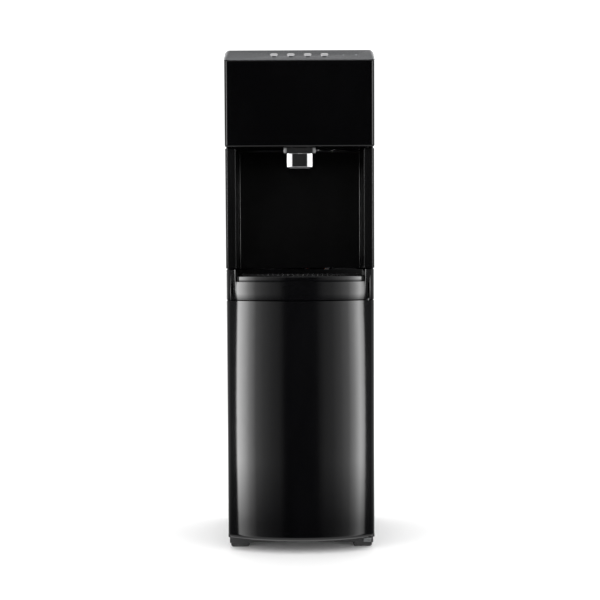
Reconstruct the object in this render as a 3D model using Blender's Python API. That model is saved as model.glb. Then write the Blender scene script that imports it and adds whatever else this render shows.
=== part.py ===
"""Floor-standing water dispenser that takes its bottle at the bottom.

Metres, +Z up, front towards -Y. The origin is on the floor, at the centre of the bounding box.
Every piece that comes apart on a bench is an object of its own.
"""

from math import asin, atan2, cos, pi, radians, sin, sqrt, tan

import bmesh
import bpy
from mathutils import Matrix, Vector

# Overall sizes
CABINET_WIDTH = 0.308
CABINET_DEPTH = 0.360

# Clearances
GAP = 0.0003            # between pieces that touch
FIT = 0.0003            # round a piece that passes through a hole
DOOR_GAP = 0.0015       # door's back to the cabinet's front frame
SEAM = 0.002            # visible seam between front mouldings
SHELL_SEAM = 0.003      # seam under the niche moulding
HEAD_SEAM = 0.0025      # seam between the niche moulding and the head

# Walls
SHEET = 0.0012          # side and rear panels
SHELF_SHEET = 0.0015
MID_SHELF_HEIGHT = 0.0105
LINER_WALL = 0.0015
MOULDING_WALL = 0.0025
BAND_WALL = 0.003

# Heights, each on top of the one before it
FOOT_HEIGHT = 0.009
PAN_HEIGHT = 0.022
DOOR_BOTTOM = 0.025
DOOR_HEIGHT = 0.5005
BAND_HEIGHT = 0.0373
TRAY_HEIGHT = 0.0115
COLUMN_RISE = 0.0252
NICHE_HEIGHT = 0.2465
FASCIA_HEIGHT = 0.176
STRIP_RISE = 0.025
STRIP_LIP = 0.0008      # upright edge along the strip's front

# Distances back from the foremost point, and forward from the rearmost one
HEAD_SETBACK = 0.015
CHEEK_SETBACK = 0.028
FRAME_SETBACK = 0.061
NICHE_DEPTH = 0.137
STRIP_DEPTH = 0.038
REAR_SPACE = 0.0185
COLUMN_WIDTH = 0.0200
SEAM_DROP = 0.0045      # how far the seam under the niche falls to the rear

# Front door
DOOR_EDGE_RADIUS = 0.014
DOOR_BOTTOM_FILLET = 0.011
DOOR_WALL = 0.003
PIN_RADIUS = 0.003
PIN_LENGTH = 0.012
DOOR_LINER_THICKNESS = 0.0025
MAGNET_SIZE = (0.008, 0.006, 0.070)

# Cabinet
PANEL_INSET = 0.0005    # side panels lie this far inside the mouldings
PANEL_FLANGE = 0.006
REAR_FLANGE = 0.012
HEAD_CORNER = 0.007
SHOULDER_RADIUS = 0.010
CHEEK_CORNER = 0.006
CHEEK_EDGE = 0.0015     # where a cheek turns into the niche
NICHE_CORNER = 0.004
BAY_SIDE = 0.0125       # bay wall to the outside of the cabinet
BAY_CORNER = 0.030
BOTTLE_PAD = 0.001      # height of the raised field that the bottle stands on
PAD_MARGIN = 0.004      # from that field to the bay's walls
PAN_FLOOR = 0.005
ARCH_RISE = 0.0032
FASCIA_LIP = 0.015

# Feet
FOOT_SIZE = (0.040, 0.036)
FOOT_INSET = 0.004
STUD_RADIUS = 0.004

# Control strip
BUTTON_SIZE = (0.016, 0.012)
BUTTON_PITCH = 0.0346
BUTTON_PROUD = 0.0012
BUTTON_TRAVEL = 0.0015
BUTTON_FLANGE = 0.0014
BUTTON_ROW = 0.021      # up the slope from its front edge
LENS_RADIUS = 0.0015
LENS_PLACES = (0.091, 0.117)
BOARD_SIZE = (0.180, 0.024, 0.0016)
BOARD_DROP = 0.0085

# Nozzle
NOZZLE_Y = -0.118
COLLAR_SIZE = (0.070, 0.046)
COLLAR_HEIGHT = 0.0115
SPOUT_SIZE = (0.057, 0.040)
SPOUT_HEIGHT = 0.029
SPOUT_WALL = 0.002
SHANK_SIZE = (0.040, 0.026)
OUTLET_RADIUS = 0.0065
MANIFOLD_SIZE = (0.090, 0.043, 0.015)
VALVE_SIZE = (0.022, 0.030, 0.022)
VALVE_PITCH = 0.030
COIL_RADIUS = 0.0105
COIL_HEIGHT = 0.026

# Drip tray
TRAY_FLOOR = 0.002
TRAY_RIM = 0.009
GRILLE_THICKNESS = 0.0025
GRILLE_LEDGE = 0.0035
SLOT_PITCH = 0.0105
SLOT_WIDTH = 0.0055
SLOT_COLUMNS = 18
SLOT_ROWS = 2

# Machine compartment
COMPRESSOR_RADIUS = 0.066
COMPRESSOR_HEIGHT = 0.150
COMPRESSOR_PLATE = (0.136, 0.150, 0.003)
TANK_SHELF_DROP = 0.0245    # tank shelf lies this far lower than the niche is high
SIDE_CLEARANCE = 0.004
COLD_TANK_RADIUS = 0.058
COLD_TANK_HEIGHT = 0.150
HOT_TANK_RADIUS = 0.046
HOT_TANK_HEIGHT = 0.130
HOT_TANK_CLEARANCE = 0.012
TANK_WALL = 0.0012
COOLING_TUBE_RADIUS = 0.003
COOLING_TURNS = 5
HEATER_THICKNESS = 0.002
HEATER_HEIGHT = 0.040
FOAM = 0.010
FOAM_BASE = 0.012
PORT_RADIUS = 0.005
PORT_BORE = 0.0035
PORT_LENGTH = 0.018
PORT_OFFSET = 0.026
PORT_CLEARANCE = 0.002  # round a port or hose that passes through sheet metal or foam
HOSE_RADIUS = 0.0045

# Pump
PUMP_RADIUS = 0.024
PUMP_LENGTH = 0.060
PUMP_HEAD = (0.056, 0.050, 0.034)

# Bottle probe
PROBE_X = -0.114
PROBE_Y = -0.090
PROBE_RADIUS = 0.0065
PROBE_CAP_RADIUS = 0.022
PROBE_LENGTH = 0.390
PROBE_BASE = 0.085      # tip above the bay floor

# Rear side
CONDENSER_WIDTH = 0.240
CONDENSER_RUNS = 10
CONDENSER_PITCH = 0.034
CONDENSER_TUBE = 0.0025
WIRE = 0.0016
WIRE_PITCH = 0.0135
INLET_SIZE = (0.048, 0.028)
SWITCH_FRAME = (0.040, 0.032)
ROCKER_SIZE = (0.012, 0.021)
DRAIN_RADIUS = 0.008
DRAIN_BORE = 0.005
CAP_RADIUS = 0.0125
VENT_SLOTS = 6
VENT_SIZE = (0.090, 0.006)
VENT_X = 0.0693
VENT_PITCH = 0.062
VENT_RISE = 0.100       # lowest slot above the mid shelf

# Derived levels
pan_top = FOOT_HEIGHT + PAN_HEIGHT
door_top = DOOR_BOTTOM + DOOR_HEIGHT
band_bottom = door_top + SEAM
deck_top = band_bottom + BAND_HEIGHT
column_top = deck_top + COLUMN_RISE
shell_bottom = column_top + SHELL_SEAM
shell_top = shell_bottom + NICHE_HEIGHT
head_bottom = shell_top + HEAD_SEAM
fascia_top = head_bottom + FASCIA_HEIGHT
strip_bottom = fascia_top + GAP
cabinet_top = fascia_top + STRIP_RISE
ceiling_top = head_bottom + MOULDING_WALL
mid_shelf_top = band_bottom + MID_SHELF_HEIGHT
tank_shelf_top = mid_shelf_top + NICHE_HEIGHT - TANK_SHELF_DROP

# Derived plan positions
half = CABINET_WIDTH / 2
front = -CABINET_DEPTH / 2
rear = CABINET_DEPTH / 2
head_front = front + HEAD_SETBACK
cheek_front = front + CHEEK_SETBACK
frame_front = front + FRAME_SETBACK
moulding_back = frame_front + LINER_WALL
panel_front = moulding_back + GAP
door_back = frame_front - DOOR_GAP
pivot_x = half - DOOR_EDGE_RADIUS
pivot_y = door_back - DOOR_EDGE_RADIUS
niche_back = cheek_front + NICHE_DEPTH
shell_back = niche_back + MOULDING_WALL
strip_back = head_front + STRIP_DEPTH
body_back = rear - REAR_SPACE
rear_panel_front = body_back - SHEET
panel_back = rear_panel_front - GAP
panel_x = half - PANEL_INSET
panel_inside = panel_x - SHEET
flange_x = panel_x - PANEL_FLANGE
bay_half = half - BAY_SIDE
bay_back = panel_back - SHEET - GAP - LINER_WALL
deck_half = flange_x - GAP
slope = atan2(STRIP_RISE - GAP - STRIP_LIP, STRIP_DEPTH)
machine_y = (shell_back + panel_back) / 2

# Colour, roughness and metallic value of each kind of surface
FINISHES = {
    "gloss_black": ((0.010, 0.010, 0.011), 0.12, 0.0),
    "satin_black": ((0.018, 0.018, 0.019), 0.35, 0.0),
    "matte_black": ((0.030, 0.030, 0.031), 0.60, 0.0),
    "painted_black": ((0.020, 0.020, 0.021), 0.30, 0.0),
    "strip_grey": ((0.140, 0.140, 0.145), 0.28, 0.6),
    "chrome": ((0.780, 0.780, 0.790), 0.08, 1.0),
    "steel": ((0.560, 0.560, 0.570), 0.35, 1.0),
    "zinc": ((0.520, 0.530, 0.540), 0.45, 1.0),
    "copper": ((0.640, 0.320, 0.180), 0.35, 1.0),
    "rubber": ((0.025, 0.025, 0.025), 0.85, 0.0),
    "foam": ((0.080, 0.080, 0.085), 0.95, 0.0),
    "silicone": ((0.700, 0.720, 0.720), 0.40, 0.0),
    "white_plastic": ((0.750, 0.750, 0.730), 0.45, 0.0),
    "grey_plastic": ((0.250, 0.250, 0.260), 0.50, 0.0),
    "board_green": ((0.020, 0.120, 0.050), 0.45, 0.0),
    "lens": ((0.500, 0.520, 0.540), 0.10, 0.0),
}


# ---- helpers ----

def clear_scene():
    for item in list(bpy.data.objects):
        bpy.data.objects.remove(item, do_unlink=True)


def finish_object(name, bm, finish, location=(0, 0, 0)):
    """Turn a bmesh into a named object with its own material."""
    bmesh.ops.recalc_face_normals(bm, faces=bm.faces)
    mesh = bpy.data.meshes.new(name)
    bm.to_mesh(mesh)
    bm.free()
    item = bpy.data.objects.new(name, mesh)
    item.location = location
    bpy.context.scene.collection.objects.link(item)
    if finish:
        add_material(item, finish)
    return item


def add_material(item, finish):
    colour, roughness, metallic = FINISHES[finish]
    material = bpy.data.materials.new(item.name)
    material.use_nodes = True
    shader = material.node_tree.nodes["Principled BSDF"]
    shader.inputs["Base Color"].default_value = (*colour, 1.0)
    shader.inputs["Roughness"].default_value = roughness
    shader.inputs["Metallic"].default_value = metallic
    material.diffuse_color = (*colour, 1.0)
    item.data.materials.append(material)


def smooth(item, angle=35):
    item.data.shade_smooth()
    item.data.set_sharp_from_angle(angle=radians(angle))
    return item


def box(name, x, y, z, finish=None):
    """A block between two values on each axis, with its origin in its middle."""
    bm = bmesh.new()
    bmesh.ops.create_cube(bm, size=1)
    size = [abs(pair[1] - pair[0]) for pair in (x, y, z)]
    bmesh.ops.scale(bm, vec=size, verts=bm.verts)
    middle = [(pair[0] + pair[1]) / 2 for pair in (x, y, z)]
    return finish_object(name, bm, finish, middle)


def loft(name, rings, finish=None, closed=False, location=(0, 0, 0)):
    """Skin a row of rings that all have the same number of points."""
    bm = bmesh.new()
    loops = [[bm.verts.new(point) for point in ring] for ring in rings]
    pairs = list(zip(loops, loops[1:]))
    if closed:
        pairs.append((loops[-1], loops[0]))
    for lower, upper in pairs:
        for i in range(len(lower)):
            j = (i + 1) % len(lower)
            bm.faces.new((lower[i], lower[j], upper[j], upper[i]))
    if not closed:
        bm.faces.new(list(reversed(loops[0])))
        bm.faces.new(loops[-1])
    return finish_object(name, bm, finish, location)


def prism(name, outline, bottom, top, finish=None):
    """Stand an outline up between two heights, each a number or a rule of x and y."""
    low = bottom if callable(bottom) else lambda x, y: bottom
    high = top if callable(top) else lambda x, y: top
    rings = [[(x, y, low(x, y)) for x, y in outline], [(x, y, high(x, y)) for x, y in outline]]
    return loft(name, rings, finish)


def wall(name, path, thickness, bottom, top, finish):
    """A thin upright wall whose material lies to the left of its path."""
    low = bottom if callable(bottom) else lambda x, y: bottom
    high = top if callable(top) else lambda x, y: top
    rings = []
    for (x, y), (sx, sy) in zip(path, offset_path(path, thickness)):
        rings.append([(x, y, low(x, y)), (sx, sy, low(x, y)), (sx, sy, high(x, y)), (x, y, high(x, y))])
    return smooth(loft(name, rings, finish))


def offset_path(path, distance):
    moved = []
    for i, point in enumerate(path):
        here = Vector(point)
        before = Vector(path[i - 1]) if i > 0 else None
        after = Vector(path[i + 1]) if i < len(path) - 1 else None
        into = (here - before).normalized() if before else (after - here).normalized()
        out = (after - here).normalized() if after else into
        left_in = Vector((-into.y, into.x))
        left_out = Vector((-out.y, out.x))
        middle = (left_in + left_out).normalized()
        moved.append(tuple(here + middle * (distance / middle.dot(left_in))))
    return moved


def arc(cx, cy, radius, start, end, steps):
    """Points on a circle from one angle in degrees to another."""
    angles = [radians(start + (end - start) * i / steps) for i in range(steps + 1)]
    return [(cx + radius * cos(a), cy + radius * sin(a)) for a in angles]


def rounded_path(corners, radii, steps=5):
    """Replace each inner corner of an open path by an arc."""
    points = [corners[0]]
    for i in range(1, len(corners) - 1):
        here = Vector(corners[i])
        back = (Vector(corners[i - 1]) - here).normalized()
        ahead = (Vector(corners[i + 1]) - here).normalized()
        half_angle = back.angle(ahead) / 2
        reach = radii[i] / abs(sin(half_angle) / cos(half_angle))
        centre = here + (back + ahead).normalized() * (radii[i] / sin(half_angle))
        start = here + back * reach - centre
        sweep = start.angle_signed(here + ahead * reach - centre)
        for k in range(steps + 1):
            turn = Matrix.Rotation(-sweep * k / steps, 2)
            points.append(tuple(centre + turn @ start))
    points.append(corners[-1])
    return points


def circle(radius, z, count=24, x=0.0, y=0.0):
    return [(x + radius * cos(2 * pi * i / count), y + radius * sin(2 * pi * i / count), z)
            for i in range(count)]


def rounded_rect(width, depth, corner, z, x=0.0, y=0.0, steps=5):
    ring = []
    corners = ((1, 1, 0), (-1, 1, 90), (-1, -1, 180), (1, -1, 270))
    for sign_x, sign_y, start in corners:
        cx = x + sign_x * (width / 2 - corner)
        cy = y + sign_y * (depth / 2 - corner)
        ring += [(px, py, z) for px, py in arc(cx, cy, corner, start, start + 90, steps)]
    return ring


def turned(name, profile, finish=None, count=24, closed=False, location=(0, 0, 0)):
    """A round piece from its radius and height pairs."""
    rings = [circle(radius, z, count) for radius, z in profile]
    return smooth(loft(name, rings, finish, closed, location))


def cylinder(name, radius, length, location, axis="Z", count=24, finish=None):
    """A round bar centred on its location, along one axis."""
    item = turned(name, [(radius, -length / 2), (radius, length / 2)], finish, count, location=location)
    turn_to(item, axis)
    return item


def turn_to(item, axis):
    """Lay a piece that was made along Z down along X or Y."""
    if axis == "X":
        item.rotation_euler = (0, radians(90), 0)
    elif axis == "Y":
        item.rotation_euler = (radians(-90), 0, 0)


def hang_on(name, place, items):
    """Parent the pieces that move together to an empty on their joint's axis."""
    axis = bpy.data.objects.new(name, None)
    axis.location = place
    bpy.context.scene.collection.objects.link(axis)
    for item in items:
        item.parent = axis
        item.location -= axis.location


def hide_tool(item):
    item.hide_render = True
    item.display_type = "WIRE"


def cut(item, tool):
    """Take one body away from another."""
    hide_tool(tool)
    modifier = item.modifiers.new("Cut", "BOOLEAN")
    modifier.operation = "DIFFERENCE"
    modifier.object = tool


def join(item, tool):
    """Join a second body to a piece."""
    hide_tool(tool)
    modifier = item.modifiers.new("Join", "BOOLEAN")
    modifier.operation = "UNION"
    modifier.object = tool


def bevel(item, width, segments=2, angle=40):
    modifier = item.modifiers.new("Bevel", "BEVEL")
    modifier.width = width
    modifier.segments = segments
    modifier.limit_method = "ANGLE"
    modifier.angle_limit = radians(angle)
    return item


def bevel_some(item, chosen, width, segments):
    """Round only the edges for which the rule says yes, given both end points."""
    bm = bmesh.new()
    bm.from_mesh(item.data)
    edges = [e for e in bm.edges if chosen(e.verts[0].co + item.location, e.verts[1].co + item.location)]
    bmesh.ops.bevel(bm, geom=edges, offset=width, segments=segments, profile=0.5, affect="EDGES")
    bmesh.ops.recalc_face_normals(bm, faces=bm.faces)
    bm.to_mesh(item.data)
    bm.free()
    return item


def tube(name, points, radius, finish, resolution=5):
    """A hose or pipe bent smoothly through its points, with closed ends."""
    curve = bpy.data.curves.new(name, "CURVE")
    curve.dimensions = "3D"
    curve.bevel_depth = radius
    curve.bevel_resolution = 1
    curve.use_fill_caps = True
    curve.resolution_u = resolution
    spline = curve.splines.new("BEZIER")
    spline.bezier_points.add(len(points) - 1)
    for knot, point in zip(spline.bezier_points, points):
        knot.co = point
        knot.handle_left_type = "AUTO"
        knot.handle_right_type = "AUTO"
    item = bpy.data.objects.new(name, curve)
    bpy.context.scene.collection.objects.link(item)
    add_material(item, finish)
    return item


def pipe(name, points, radius, finish, sides=8, closed=False):
    """A tube of straight and bent runs through many computed points."""
    rings = []
    side = None
    for i, point in enumerate(points):
        here = Vector(point)
        ahead = Vector(points[min(i + 1, len(points) - 1)])
        behind = Vector(points[max(i - 1, 0)])
        along = (ahead - behind).normalized()
        if side is None:
            side = along.orthogonal().normalized()
        side = (side - along * side.dot(along)).normalized()
        other = along.cross(side)
        angles = [2 * pi * k / sides for k in range(sides)]
        rings.append([tuple(here + side * radius * cos(a) + other * radius * sin(a)) for a in angles])
    return smooth(loft(name, rings, finish, closed), 60)


def lattice(name, columns, rows, holes, bottom, top, finish, upright=False):
    """A plate made of cells, some of them open. Columns and rows are the cell borders."""
    bm = bmesh.new()
    levels = []
    for level in (bottom, top):
        levels.append([[bm.verts.new((x, y, level)) for x in columns] for y in rows])
    low, high = levels
    solid = {(i, j) for i in range(len(columns) - 1) for j in range(len(rows) - 1)} - holes
    for i, j in solid:
        for grid in (low, high):
            bm.faces.new((grid[j][i], grid[j][i + 1], grid[j + 1][i + 1], grid[j + 1][i]))
        sides = (((i, j - 1), (i, j), (i + 1, j)), ((i + 1, j), (i + 1, j), (i + 1, j + 1)),
                 ((i, j + 1), (i + 1, j + 1), (i, j + 1)), ((i - 1, j), (i, j + 1), (i, j)))
        for beside, a, b in sides:
            if beside not in solid:
                bm.faces.new((low[a[1]][a[0]], low[b[1]][b[0]], high[b[1]][b[0]], high[a[1]][a[0]]))
    if upright:
        bmesh.ops.transform(bm, matrix=Matrix.Rotation(radians(90), 4, "X"), verts=bm.verts)
    return finish_object(name, bm, finish)


# ---- shapes shared by several pieces ----

def bow_radius():
    """Radius of the bowed front that runs tangent into both rounded door edges."""
    rise = pivot_y - front
    r = DOOR_EDGE_RADIUS
    return (pivot_x ** 2 + rise ** 2 - r ** 2) / (2 * (rise - r))


def bow_y(x, inset=0.0):
    radius = bow_radius()
    return front + radius - sqrt((radius - inset) ** 2 - x ** 2)


def bow_arc(half_span, inset=0.0, steps=20):
    """Points along the bowed front from left to right, set in by a distance."""
    radius = bow_radius() - inset
    reach = asin(half_span / radius)
    angles = [-reach + 2 * reach * i / steps for i in range(steps + 1)]
    centre = front + bow_radius()
    return [(radius * sin(a), centre - radius * cos(a)) for a in angles]


def edge_angle():
    """Where the bow meets the door's edge arc, in degrees from straight ahead."""
    return asin(pivot_x / (bow_radius() - DOOR_EDGE_RADIUS)) * 180 / pi


def seam_height(level):
    """A seam that is level at the cheeks' fronts and falls towards the niche's back."""
    return lambda x, y: level - SEAM_DROP * max(0.0, (y - cheek_front)) / NICHE_DEPTH


def on_slope(x, along, out):
    """A point of the control strip: across, up the slope, and out from its face."""
    y = head_front + along * cos(slope) - out * sin(slope)
    z = strip_bottom + STRIP_LIP + along * sin(slope) + out * cos(slope)
    return (x, y, z)


# ---- base ----

def make_base():
    pan = box("base_pan", (-half + 0.002, half - 0.002), (frame_front, panel_back), (FOOT_HEIGHT, pan_top),
              "matte_black")
    hollow = box("pan_hollow", (-half + 0.005, half - 0.005), (frame_front + 0.003, panel_back - 0.003),
                 (FOOT_HEIGHT + PAN_FLOOR, pan_top + 0.01))
    cut(pan, hollow)
    span = half - FOOT_INSET - FOOT_SIZE[0]
    radius = (span ** 2 + ARCH_RISE ** 2) / (2 * ARCH_RISE)
    arch = cylinder("pan_arch", radius, CABINET_DEPTH, (0, 0, FOOT_HEIGHT + ARCH_RISE - radius), "Y", 240)
    cut(pan, arch)

    foot_x = half - FOOT_INSET - FOOT_SIZE[0] / 2
    foot_front = frame_front + FOOT_SIZE[1] / 2 + 0.002
    foot_rear = panel_back - FOOT_SIZE[1] / 2 - 0.004
    places = {"front_left": (-foot_x, foot_front), "front_right": (foot_x, foot_front),
              "rear_left": (-foot_x, foot_rear), "rear_right": (foot_x, foot_rear)}
    for place, (x, y) in places.items():
        make_foot("foot_" + place, x, y)
        hole = cylinder("hole_" + place, STUD_RADIUS + FIT, 0.03, (x, y, FOOT_HEIGHT + 0.004), count=16)
        cut(pan, hole)

    floor_low = FOOT_HEIGHT + PAN_FLOOR + GAP
    floor_x = half - 0.005 - GAP
    floor_y = (frame_front + 0.003 + GAP, panel_back - 0.003 - GAP)
    plate = box("bay_floor", (-floor_x, floor_x), floor_y, (floor_low, pan_top - GAP), "satin_black")
    inside = box("floor_hollow", (-floor_x + 0.002, floor_x - 0.002),
                 (floor_y[0] + 0.002, floor_y[1] - 0.002),
                 (floor_low - 0.01, pan_top - 0.003))
    cut(plate, inside)
    pad_front = frame_front + PAD_MARGIN
    pad_back = bay_back - PAD_MARGIN
    pad = rounded_rect(2 * (bay_half - PAD_MARGIN), pad_back - pad_front, BAY_CORNER - PAD_MARGIN, 0.0,
                       y=(pad_front + pad_back) / 2)
    join(plate, prism("bottle_pad", [point[:2] for point in pad], pan_top - 0.001,
                      pan_top - GAP + BOTTLE_PAD))


def make_foot(name, x, y):
    width, depth = FOOT_SIZE
    top = FOOT_HEIGHT - GAP
    pad = [rounded_rect(width - 0.004, depth - 0.004, 0.006, 0.0), rounded_rect(width, depth, 0.008, 0.003),
           rounded_rect(width, depth, 0.008, top)]
    foot = smooth(loft(name, pad, "rubber", location=(x, y, 0)))
    stud = cylinder(name + "_stud", STUD_RADIUS, 0.008, (x, y, top + 0.0005), count=16)
    join(foot, stud)


# ---- cabinet ----

def make_cabinet():
    low = pan_top + GAP
    for side, name in ((-1, "side_panel_left"), (1, "side_panel_right")):
        path = [(side * flange_x, panel_front), (side * panel_x, panel_front), (side * panel_x, panel_back),
                (side * (panel_x - REAR_FLANGE), panel_back)]
        if side < 0:
            path.reverse()
        wall(name, path, SHEET, low, fascia_top, "painted_black")

    make_rear_panel(low)

    outer = half - 0.0015
    corners = [(-outer, frame_front), (-bay_half, frame_front), (-bay_half, bay_back), (bay_half, bay_back),
               (bay_half, frame_front), (outer, frame_front)]
    path = rounded_path(corners, [0, 0.001, BAY_CORNER, BAY_CORNER, 0.001, 0], 6)
    wall("bay_liner", path, LINER_WALL, low, band_bottom - 2 * GAP, "satin_black")

    shelf_x = deck_half - BAND_WALL - GAP
    shelf_y = (panel_front + SHEET + 0.002, panel_back - SHEET - 2 * GAP)
    shelf = box("mid_shelf", (-shelf_x, shelf_x), shelf_y, (band_bottom - GAP, mid_shelf_top), "zinc")
    under = box("mid_shelf_hollow", (-shelf_x + SHELF_SHEET, shelf_x - SHELF_SHEET),
                (shelf_y[0] + SHELF_SHEET, shelf_y[1] - SHELF_SHEET),
                (band_bottom - 0.02, mid_shelf_top - SHELF_SHEET))
    cut(shelf, under)
    cut(shelf, cylinder("hose_hole", HOSE_RADIUS + 0.004, 0.02, (PROBE_X, PROBE_Y, mid_shelf_top), count=16))

    tank_x = panel_inside - GAP
    tank_y = (shell_back + GAP, panel_back - SHEET - 2 * GAP)
    tank_shelf = box("tank_shelf", (-tank_x, tank_x), tank_y, (tank_shelf_top - 0.018, tank_shelf_top),
                     "zinc")
    below = box("tank_shelf_hollow", (-tank_x - 0.01, tank_x + 0.01),
                (tank_y[0] + SHELF_SHEET, tank_y[1] + 0.01),
                (tank_shelf_top - 0.03, tank_shelf_top - SHELF_SHEET))
    cut(tank_shelf, below)
    drain_hole = cylinder("drain_hole", PORT_RADIUS + PORT_CLEARANCE, 0.02,
                          (cold_x(), machine_y, tank_shelf_top), count=16)
    cut(tank_shelf, drain_hole)
    riser = cylinder("riser_hole", HOSE_RADIUS + PORT_CLEARANCE, 0.02,
                     (riser_x(), riser_y(), tank_shelf_top), count=16)
    cut(tank_shelf, riser)


def cold_x():
    return -(panel_inside - SIDE_CLEARANCE - cold_jacket_radius())


def hot_x():
    return panel_inside - SIDE_CLEARANCE - hot_reach()


def cold_jacket_radius():
    return COLD_TANK_RADIUS + 2 * COOLING_TUBE_RADIUS + 0.0015 + FOAM


def hot_reach():
    return HOT_TANK_RADIUS + HEATER_THICKNESS + HOT_TANK_CLEARANCE


def riser_x():
    return (cold_x() + cold_jacket_radius() + hot_x() - hot_reach()) / 2


def riser_y():
    return panel_back - 0.018


def magnet_z():
    return (DOOR_BOTTOM + door_top) / 2


def inlet_place():
    return (hot_x(), mid_shelf_top + 0.040)


def drain_place():
    return (riser_x(), mid_shelf_top + 0.048)


def switch_place():
    return (hot_x(), fascia_top - 0.030)


def make_rear_panel(low):
    width = half - 0.001
    panel = box("rear_panel", (-width, width), (rear_panel_front, body_back), (low, fascia_top),
                "painted_black")
    inlet_x, inlet_z = inlet_place()
    depth = (rear_panel_front - 0.02, body_back + 0.02)
    across = INLET_SIZE[0] / 2 + FIT
    tall = INLET_SIZE[1] / 2 + FIT
    cut(panel, box("inlet_hole", (inlet_x - across, inlet_x + across), depth,
                   (inlet_z - tall, inlet_z + tall)))
    switch_x, switch_z = switch_place()
    across = SWITCH_FRAME[0] / 2 - 0.003 + FIT
    tall = SWITCH_FRAME[1] / 2 - 0.003 + FIT
    cut(panel, box("switch_hole", (switch_x - across, switch_x + across), depth,
                   (switch_z - tall, switch_z + tall)))
    drain_x, drain_z = drain_place()
    cut(panel, cylinder("spout_hole", DRAIN_RADIUS + FIT, 0.05, (drain_x, body_back, drain_z), "Y", 20))
    for row in range(VENT_SLOTS):
        z = mid_shelf_top + VENT_RISE + row * VENT_PITCH
        for side in (-1, 1):
            left = side * VENT_X - VENT_SIZE[0] / 2
            slot = box("vent", (left, left + VENT_SIZE[0]), depth, (z, z + VENT_SIZE[1]))
            cut(panel, slot)


# ---- front door ----

def make_door():
    angle = edge_angle()
    left = arc(-pivot_x, pivot_y, DOOR_EDGE_RADIUS, 90, 270 - angle, 8)
    right = arc(pivot_x, pivot_y, DOOR_EDGE_RADIUS, 270 + angle, 450, 8)
    bow = bow_arc((bow_radius()) * sin(radians(angle)))
    outline = left + bow[1:-1] + right
    # The origin is on the hinge axis, so the plan is drawn about it.
    local = [(x - pivot_x, y - pivot_y) for x, y in outline]
    shell = prism("door_shell", local, 0.0, DOOR_HEIGHT, "gloss_black")
    shell.location = (pivot_x, pivot_y, DOOR_BOTTOM)

    def lower_front(a, b):
        low = max(a.z, b.z) < DOOR_BOTTOM + 0.0001
        return low and max(a.y, b.y) < pivot_y + 0.0001

    bevel_some(shell, lower_front, DOOR_BOTTOM_FILLET, 4)
    smooth(shell)

    side = pivot_x - DOOR_EDGE_RADIUS
    inner = bow_arc(side, DOOR_WALL) + [(side, door_back + 0.01), (-side, door_back + 0.01)]
    hollow_low = DOOR_BOTTOM + DOOR_BOTTOM_FILLET + DOOR_WALL
    hollow_high = door_top - 0.012
    cut(shell, prism("door_hollow", inner, hollow_low, hollow_high))
    for level, name in ((DOOR_BOTTOM, "socket_low"), (door_top, "socket_high")):
        cut(shell, cylinder(name, PIN_RADIUS + FIT, 2 * PIN_LENGTH + 0.002, (pivot_x, pivot_y, level),
                            count=20))

    liner = box("door_liner", (-side + GAP, side - GAP), (door_back - DOOR_LINER_THICKNESS, door_back),
                (hollow_low + GAP, hollow_high - GAP), "satin_black")
    bevel(liner, 0.0006, 1)

    width, depth, height = MAGNET_SIZE
    z = magnet_z()
    pocket = box("magnet_pocket", (-pivot_x - width / 2 - GAP, -pivot_x + width / 2 + GAP),
                 (door_back - depth - GAP, door_back + 0.01), (z - height / 2 - GAP, z + height / 2 + GAP))
    cut(shell, pocket)
    magnet = box("door_magnet", (-pivot_x - width / 2, -pivot_x + width / 2), (door_back - depth, door_back),
                 (z - height / 2, z + height / 2), "matte_black")
    bevel(magnet, 0.0005, 1)

    hang_on("door_axis", (pivot_x, pivot_y, DOOR_BOTTOM), (shell, liner, magnet))
    make_hinges()


def make_hinges():
    reach = 0.008
    low = band_bottom + GAP
    upper = box("hinge_top", (pivot_x - reach, pivot_x + PIN_RADIUS + 0.0006),
                (pivot_y - 2 * PIN_RADIUS, panel_front + SHEET + 0.0017), (low, low + 0.002), "zinc")
    pin_low = door_top - PIN_LENGTH
    join(upper, cylinder("pin_top", PIN_RADIUS, low + 0.001 - pin_low,
                         (pivot_x, pivot_y, (low + 0.001 + pin_low) / 2),
                         count=20))

    top = DOOR_BOTTOM - 0.001
    lower = box("hinge_bottom", (pivot_x - reach, pivot_x + reach), (pivot_y - reach, frame_front - GAP),
                (top - 0.0025, top), "zinc")
    leg = box("hinge_leg", (pivot_x - reach, pivot_x + reach),
              (frame_front - GAP - 0.0025, frame_front - GAP),
              (FOOT_HEIGHT + 0.002, top - 0.001))
    join(lower, leg)
    pin_high = DOOR_BOTTOM + PIN_LENGTH
    join(lower, cylinder("pin_bottom", PIN_RADIUS, pin_high - top + 0.001,
                         (pivot_x, pivot_y, (pin_high + top - 0.001) / 2), count=20))


# ---- tray deck, drip tray and grille ----

def tray_half():
    return half - COLUMN_WIDTH


def tray_back():
    return niche_back - 0.0065


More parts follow.
